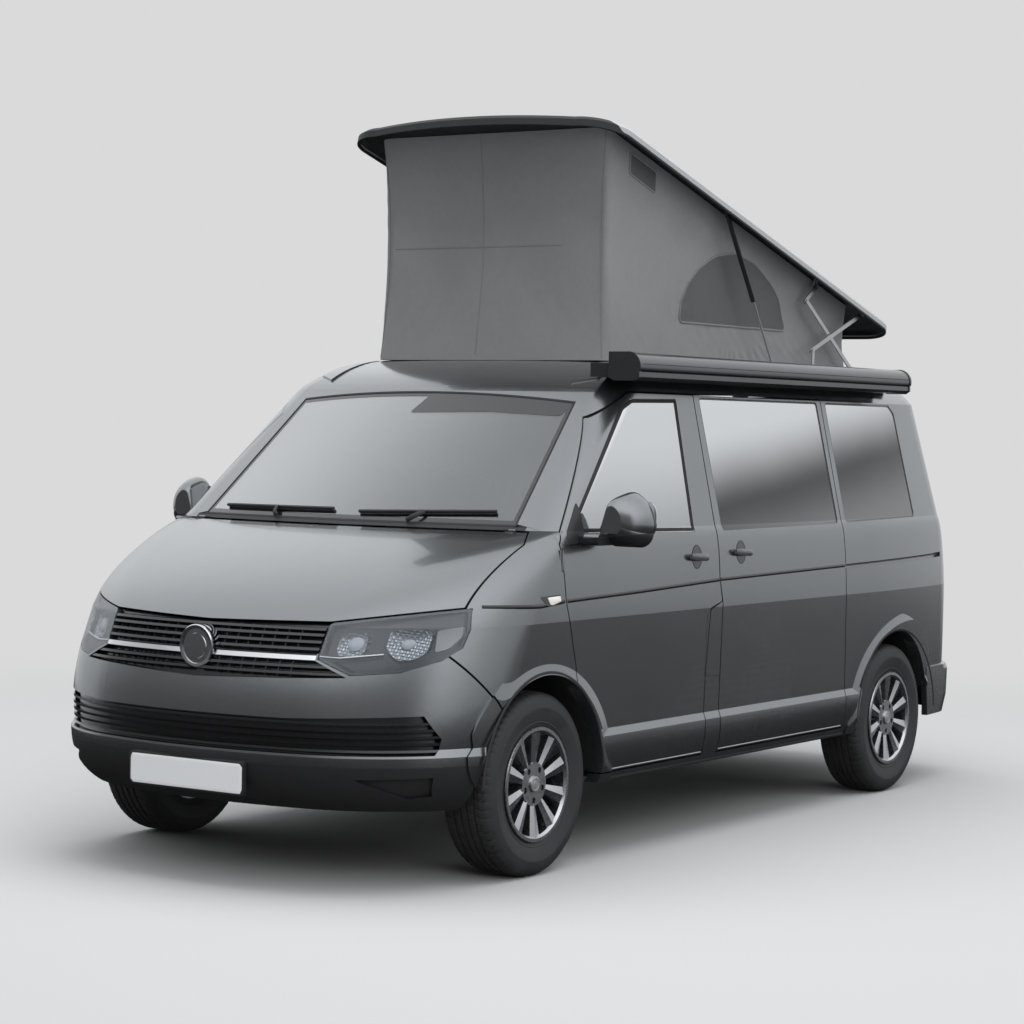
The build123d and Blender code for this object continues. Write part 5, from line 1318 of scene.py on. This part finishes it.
def tent_depth(run, high, x, z, front_share):
    """How far the cloth lies off its foot line: folds less the hollow, and puckers on the sides."""
    hollow = (0.012 + 0.030 * front_share) * 4 * high * (1 - high)
    side_share = (1 - front_share) * np.clip((x - TENT_REAR_X) / 0.1, 0, 1)
    return tent_folds(run, high) - hollow - 0.006 + side_share * window_pull(x, z)


foot_outline = rounded([(TENT_FRONT_X, -TENT_HALF_Y), (TENT_FRONT_X, TENT_HALF_Y), (TENT_REAR_X, TENT_HALF_Y),
                        (TENT_REAR_X, -TENT_HALF_Y)], TENT_CORNER, 12)
foot = spaced(foot_outline, CLOTH_STEP)
run = np.concatenate([[0], np.cumsum(np.linalg.norm(np.diff(foot, axis=0), axis=1))])
along = tangents(np.column_stack([foot, np.zeros(len(foot))]), True)
outward = np.stack([along[:, 1], -along[:, 0]], 1)
outward = outward * np.sign(np.sum(outward * (foot - foot.mean(0))))
front_share = np.clip(outward[:, 0], 0, 1)[None, :]
middle = run[np.argmin(np.abs(foot[:, 1]) + np.abs(foot[:, 0] - TENT_FRONT_X))]
away = np.abs(run - middle)
mirror_run = np.minimum(away, run[-1] + CLOTH_STEP - away)
high = np.linspace(0, 1, TENT_ROWS)[:, None]
top = tent_top(foot[:, 0])[None, :]
wall_z = TENT_FOOT_Z + high * (top - TOP_GAP - TENT_FOOT_Z)
depth = tent_depth(mirror_run[None, :], high, foot[None, :, 0], wall_z, front_share)
cloth = np.zeros((TENT_ROWS, len(foot), 3))
cloth[..., :2] = foot[None] + depth[..., None] * outward[None]
cloth[..., 2] = wall_z


def tent_piece(name, grids, finish, **shape):
    """A piece that hangs on the tent: it rides on the canvas's body, with a mesh of its own."""
    made = make_piece(name, grids, BODY_OF["canvas"], finish, "canvas", **shape)
    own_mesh(made)
    return made


tent = tent_piece("tent_walls", [cloth], tent_cloth, crisp=60)
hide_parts("canvas")
wall_area = float(np.sum(np.gradient(run) * (tent_top(foot[:, 0]) - TENT_FOOT_Z)))

# %% [markdown]
# ## Tent windows and seams
# Each side has a mesh window shaped like a D, with piping round it, and a small vent near the top. Flat
# seams cross the front wall, and the cloth's own formula carries them all over its folds.

# %% Tent windows and seams
LEFT_WALL = np.flatnonzero(outward[:, 1] > 0.999)
wall_x = foot[LEFT_WALL, 0]
FRONT_WALL = np.flatnonzero(outward[:, 0] > 0.999)


def left_wall(x, z, lift=0.0):
    """Points on the tent's left wall at (x, z): the cloth's depth there, lifted outwards."""
    x, z = np.asarray(x, float), np.asarray(z, float)
    order = np.argsort(wall_x)
    at_run = np.interp(x, wall_x[order], mirror_run[LEFT_WALL][order])
    share = (z - TENT_FOOT_Z) / (tent_top(x) - TOP_GAP - TENT_FOOT_Z)
    y = TENT_HALF_Y + tent_depth(at_run, share, x, z, 0.0) + lift
    return np.stack([x, y, z], -1)


def front_wall(y, z, lift=0.0):
    """Points on the tent's front wall at (y, z), lifted forwards."""
    y, z = np.asarray(y, float), np.asarray(z, float)
    order = np.argsort(foot[FRONT_WALL, 1])
    at_run = np.interp(y, foot[FRONT_WALL, 1][order], mirror_run[FRONT_WALL][order])
    x = np.full(np.broadcast(y, z).shape, TENT_FRONT_X)
    share = (z - TENT_FOOT_Z) / (tent_top(x) - TOP_GAP - TENT_FOOT_Z)
    x = x + tent_depth(at_run, share, x, z, 1.0) + lift
    return np.stack(np.broadcast_arrays(x, y, z), -1)


def window_mesh():
    """Fly mesh: a fine crossed weave, darker than the cloth, with the light showing between its threads."""
    f = Finish("window_mesh")
    x, y, z = f.axes()
    warp = f.wave(x * 2600.0)
    weft = f.wave(z * 2600.0)
    threads = f.step(warp * weft, -0.6, 0.6)
    cloudy = f.noise(6, 3)
    return f.surface(threads * (0.6 + 0.4 * cloudy), (0.045, 0.047, 0.05), (0.13, 0.133, 0.137), threads,
                     0.0001, roughness=0.8)


fly_mesh = window_mesh()
piping_cloth = woven("tent_piping", (0.17, 0.175, 0.18), thread=900)
window_outline = smooth(WINDOW_EDGE, 0.035, 6, 0.010)
vent_outline = smooth([(0.397, 2.776), (0.397, 2.690), (0.185, 2.628), (0.182, 2.716)], 0.012, 5, 0.008)
for title, outline in {"window": window_outline, "vent": vent_outline}.items():
    mesh_patch = patch(outline, left_wall, 0.0015, 0.001, rings=24)
    tent_piece(f"tent_{title}_mesh", [mesh_patch, flip_y(mesh_patch)], fly_mesh)
    spine = left_wall(outline[:, 0], outline[:, 1], 0.002)
    cord = sweep(spine, np.array([0, 1.0, 0]), ring(0.0045, 0.003, 8), closed=True)
    tent_piece(f"tent_{title}_piping", [cord, flip_y(cord)], piping_cloth, wrap_rows=True)


def seam(line, wall, out):
    """A flat felled seam: a low strip along a line on a wall."""
    path = spaced(np.array(line), 0.012, closed=False)
    spine = wall(path[:, 0], path[:, 1], 0.0004)
    return rod(spine, out, ring(0.0040, 0.0012, 8))


FRONT_SEAMS = [[(-0.060, 1.945), (-0.050, 2.880)], [(-0.500, 2.395), (0.330, 2.395)]]
seam_grids = [seam(line, front_wall, (1, 0, 0)) for line in FRONT_SEAMS]
for corner in (-1, 1):
    share = np.linspace(0.01, 0.995, 90)
    corner_z = TENT_FOOT_Z + share * (tent_top(TENT_FRONT_X - 0.018) - TENT_FOOT_Z)
    nearest = int(np.argmax(foot[:, 0] + corner * foot[:, 1]))
    corner_depth = tent_depth(mirror_run[nearest], share, foot[nearest, 0], corner_z, front_share[0, nearest])
    corner_xy = foot[nearest] + corner_depth[:, None] * outward[nearest]
    spine = np.column_stack([corner_xy, corner_z])
    seam_grids.append(closed_ends(sweep(spine, np.array([*outward[nearest], 0.0]), ring(0.004, 0.0018, 8))))
tent_piece("tent_seams", seam_grids, piping_cloth)
tallest = float((top - TENT_FOOT_Z).max())
print("tent cloth, square metres:", round(wall_area, 2))

# %% [markdown]
# ## Floor, backdrop and light
# The floor is a wide pale plane that takes the van's shadow and fades into the backdrop. Paint and glass
# show what they mirror, so the sky is a recipe too: dark under the horizon, pale above it and brighter
# towards the light. The camera itself sees only the even backdrop.

# %% Floor, world and lamps
BACKDROP = (0.70, 0.70, 0.70)


def floor_finish():
    """Pale matt floor; seen by the camera, it fades with distance into the backdrop's own brightness."""
    f = Finish("studio_floor")
    away = f.node("ShaderNodeVectorMath", {"operation": "LENGTH"}, {0: f.place()}, output="Value")
    seen = f.node("ShaderNodeLightPath", output="Is Camera Ray")
    matt = f.coat(base_color=(0.42, 0.42, 0.42), roughness=0.95, specular_IOR_level=0.0)
    flat = f.node("ShaderNodeEmission", None, {"Color": (*BACKDROP, 1), "Strength": 1.0})
    return f.done(f.mix(seen * f.step(away, 2.6, 8.0), matt, flat))


floor_mesh = bpy.data.meshes.new("studio_floor")
FLOOR_REACH = 90.0
floor_mesh.from_pydata([(-FLOOR_REACH, -FLOOR_REACH, 0), (FLOOR_REACH, -FLOOR_REACH, 0),
                        (FLOOR_REACH, FLOOR_REACH, 0), (-FLOOR_REACH, FLOOR_REACH, 0)], [], [(0, 1, 2, 3)])
floor_mesh.materials.append(floor_finish())
studio_floor = bpy.data.objects.new("studio_floor", floor_mesh)
bpy.context.scene.collection.objects.link(studio_floor)
studio_floor.visible_glossy = False


class Sky(Finish):
    """The same recipe class for the world: its surface is what rays meet when they leave the scene."""

    def __init__(self, world):
        self.tree = world.node_tree
        self.tree.nodes.clear()

    def done(self, shader):
        out = self.tree.nodes.new("ShaderNodeOutputWorld")
        self.tree.links.new(shader.socket, out.inputs["Surface"])


def sky_recipe(world, sun=(0.55, 0.62, 0.56)):
    """Brightness by direction: a rise at the horizon, a glow round the sun, a dark bank low ahead."""
    f = Sky(world)
    d = f.node("ShaderNodeTexCoord", output="Generated")
    outputs = f.node("ShaderNodeSeparateXYZ", None, {"Vector": d}).socket.node.outputs
    ahead, up = Value(f, outputs[0]), Value(f, outputs[2])
    glow = f.node("ShaderNodeVectorMath", {"operation": "DOT_PRODUCT"}, {0: d, 1: sun}, output="Value")
    pale = 0.62 * f.step(up, -0.10, -0.045) + 0.45 * f.step(up, 0.0, 0.5) + 0.4 * f.step(glow, 0.35, 0.98)
    shaded = 0.80 * f.step(ahead, 0.10, 0.50) * (1.0 - f.step(up, 0.30, 0.65))
    strength = 0.03 + pale * (1.0 - shaded)
    mirrored = f.node("ShaderNodeBackground", None, {"Color": (0.96, 0.98, 1.0, 1), "Strength": strength})
    plain = f.node("ShaderNodeBackground", None, {"Color": (*BACKDROP, 1), "Strength": 1.0})
    seen = f.node("ShaderNodeLightPath", output="Is Camera Ray")
    f.done(f.mix(seen, mirrored, plain))


world = bpy.data.worlds.new("studio")
bpy.context.scene.world = world
world.use_nodes = True
sky_recipe(world)


def softbox(name, at, towards, width, height, watts):
    """A rectangular lamp at a point, turned to face another. Paint and glass mirror the sky instead of it."""
    lamp = bpy.data.lights.new(name, "AREA")
    lamp.shape = "RECTANGLE"
    lamp.size, lamp.size_y, lamp.energy = width, height, watts
    holder = bpy.data.objects.new(name, lamp)
    bpy.context.scene.collection.objects.link(holder)
    back = np.array(at, float) - np.array(towards, float)
    back = back / np.linalg.norm(back)
    right = np.cross([0.02, 0, 1.0], back)
    right = right / np.linalg.norm(right)
    spot = np.eye(4)
    spot[:3, :3] = np.stack([right, np.cross(back, right), back], 1)
    spot[:3, 3] = at
    holder.matrix_world = Matrix(spot.tolist())
    holder.visible_glossy = False


softbox("overhead", (0.5, 0.0, 7.5), (0, 0, 0), 9.0, 6.0, 560)
softbox("front_left", (8.0, 7.0, 4.5), (0.5, 0, 1.0), 5.0, 3.5, 240)
softbox("rear_left", (-6.0, 8.0, 4.0), (-0.5, 0, 1.0), 4.0, 4.0, 120)

# %% Colour handling and the closing line
bpy.context.scene.view_settings.view_transform = "Standard"
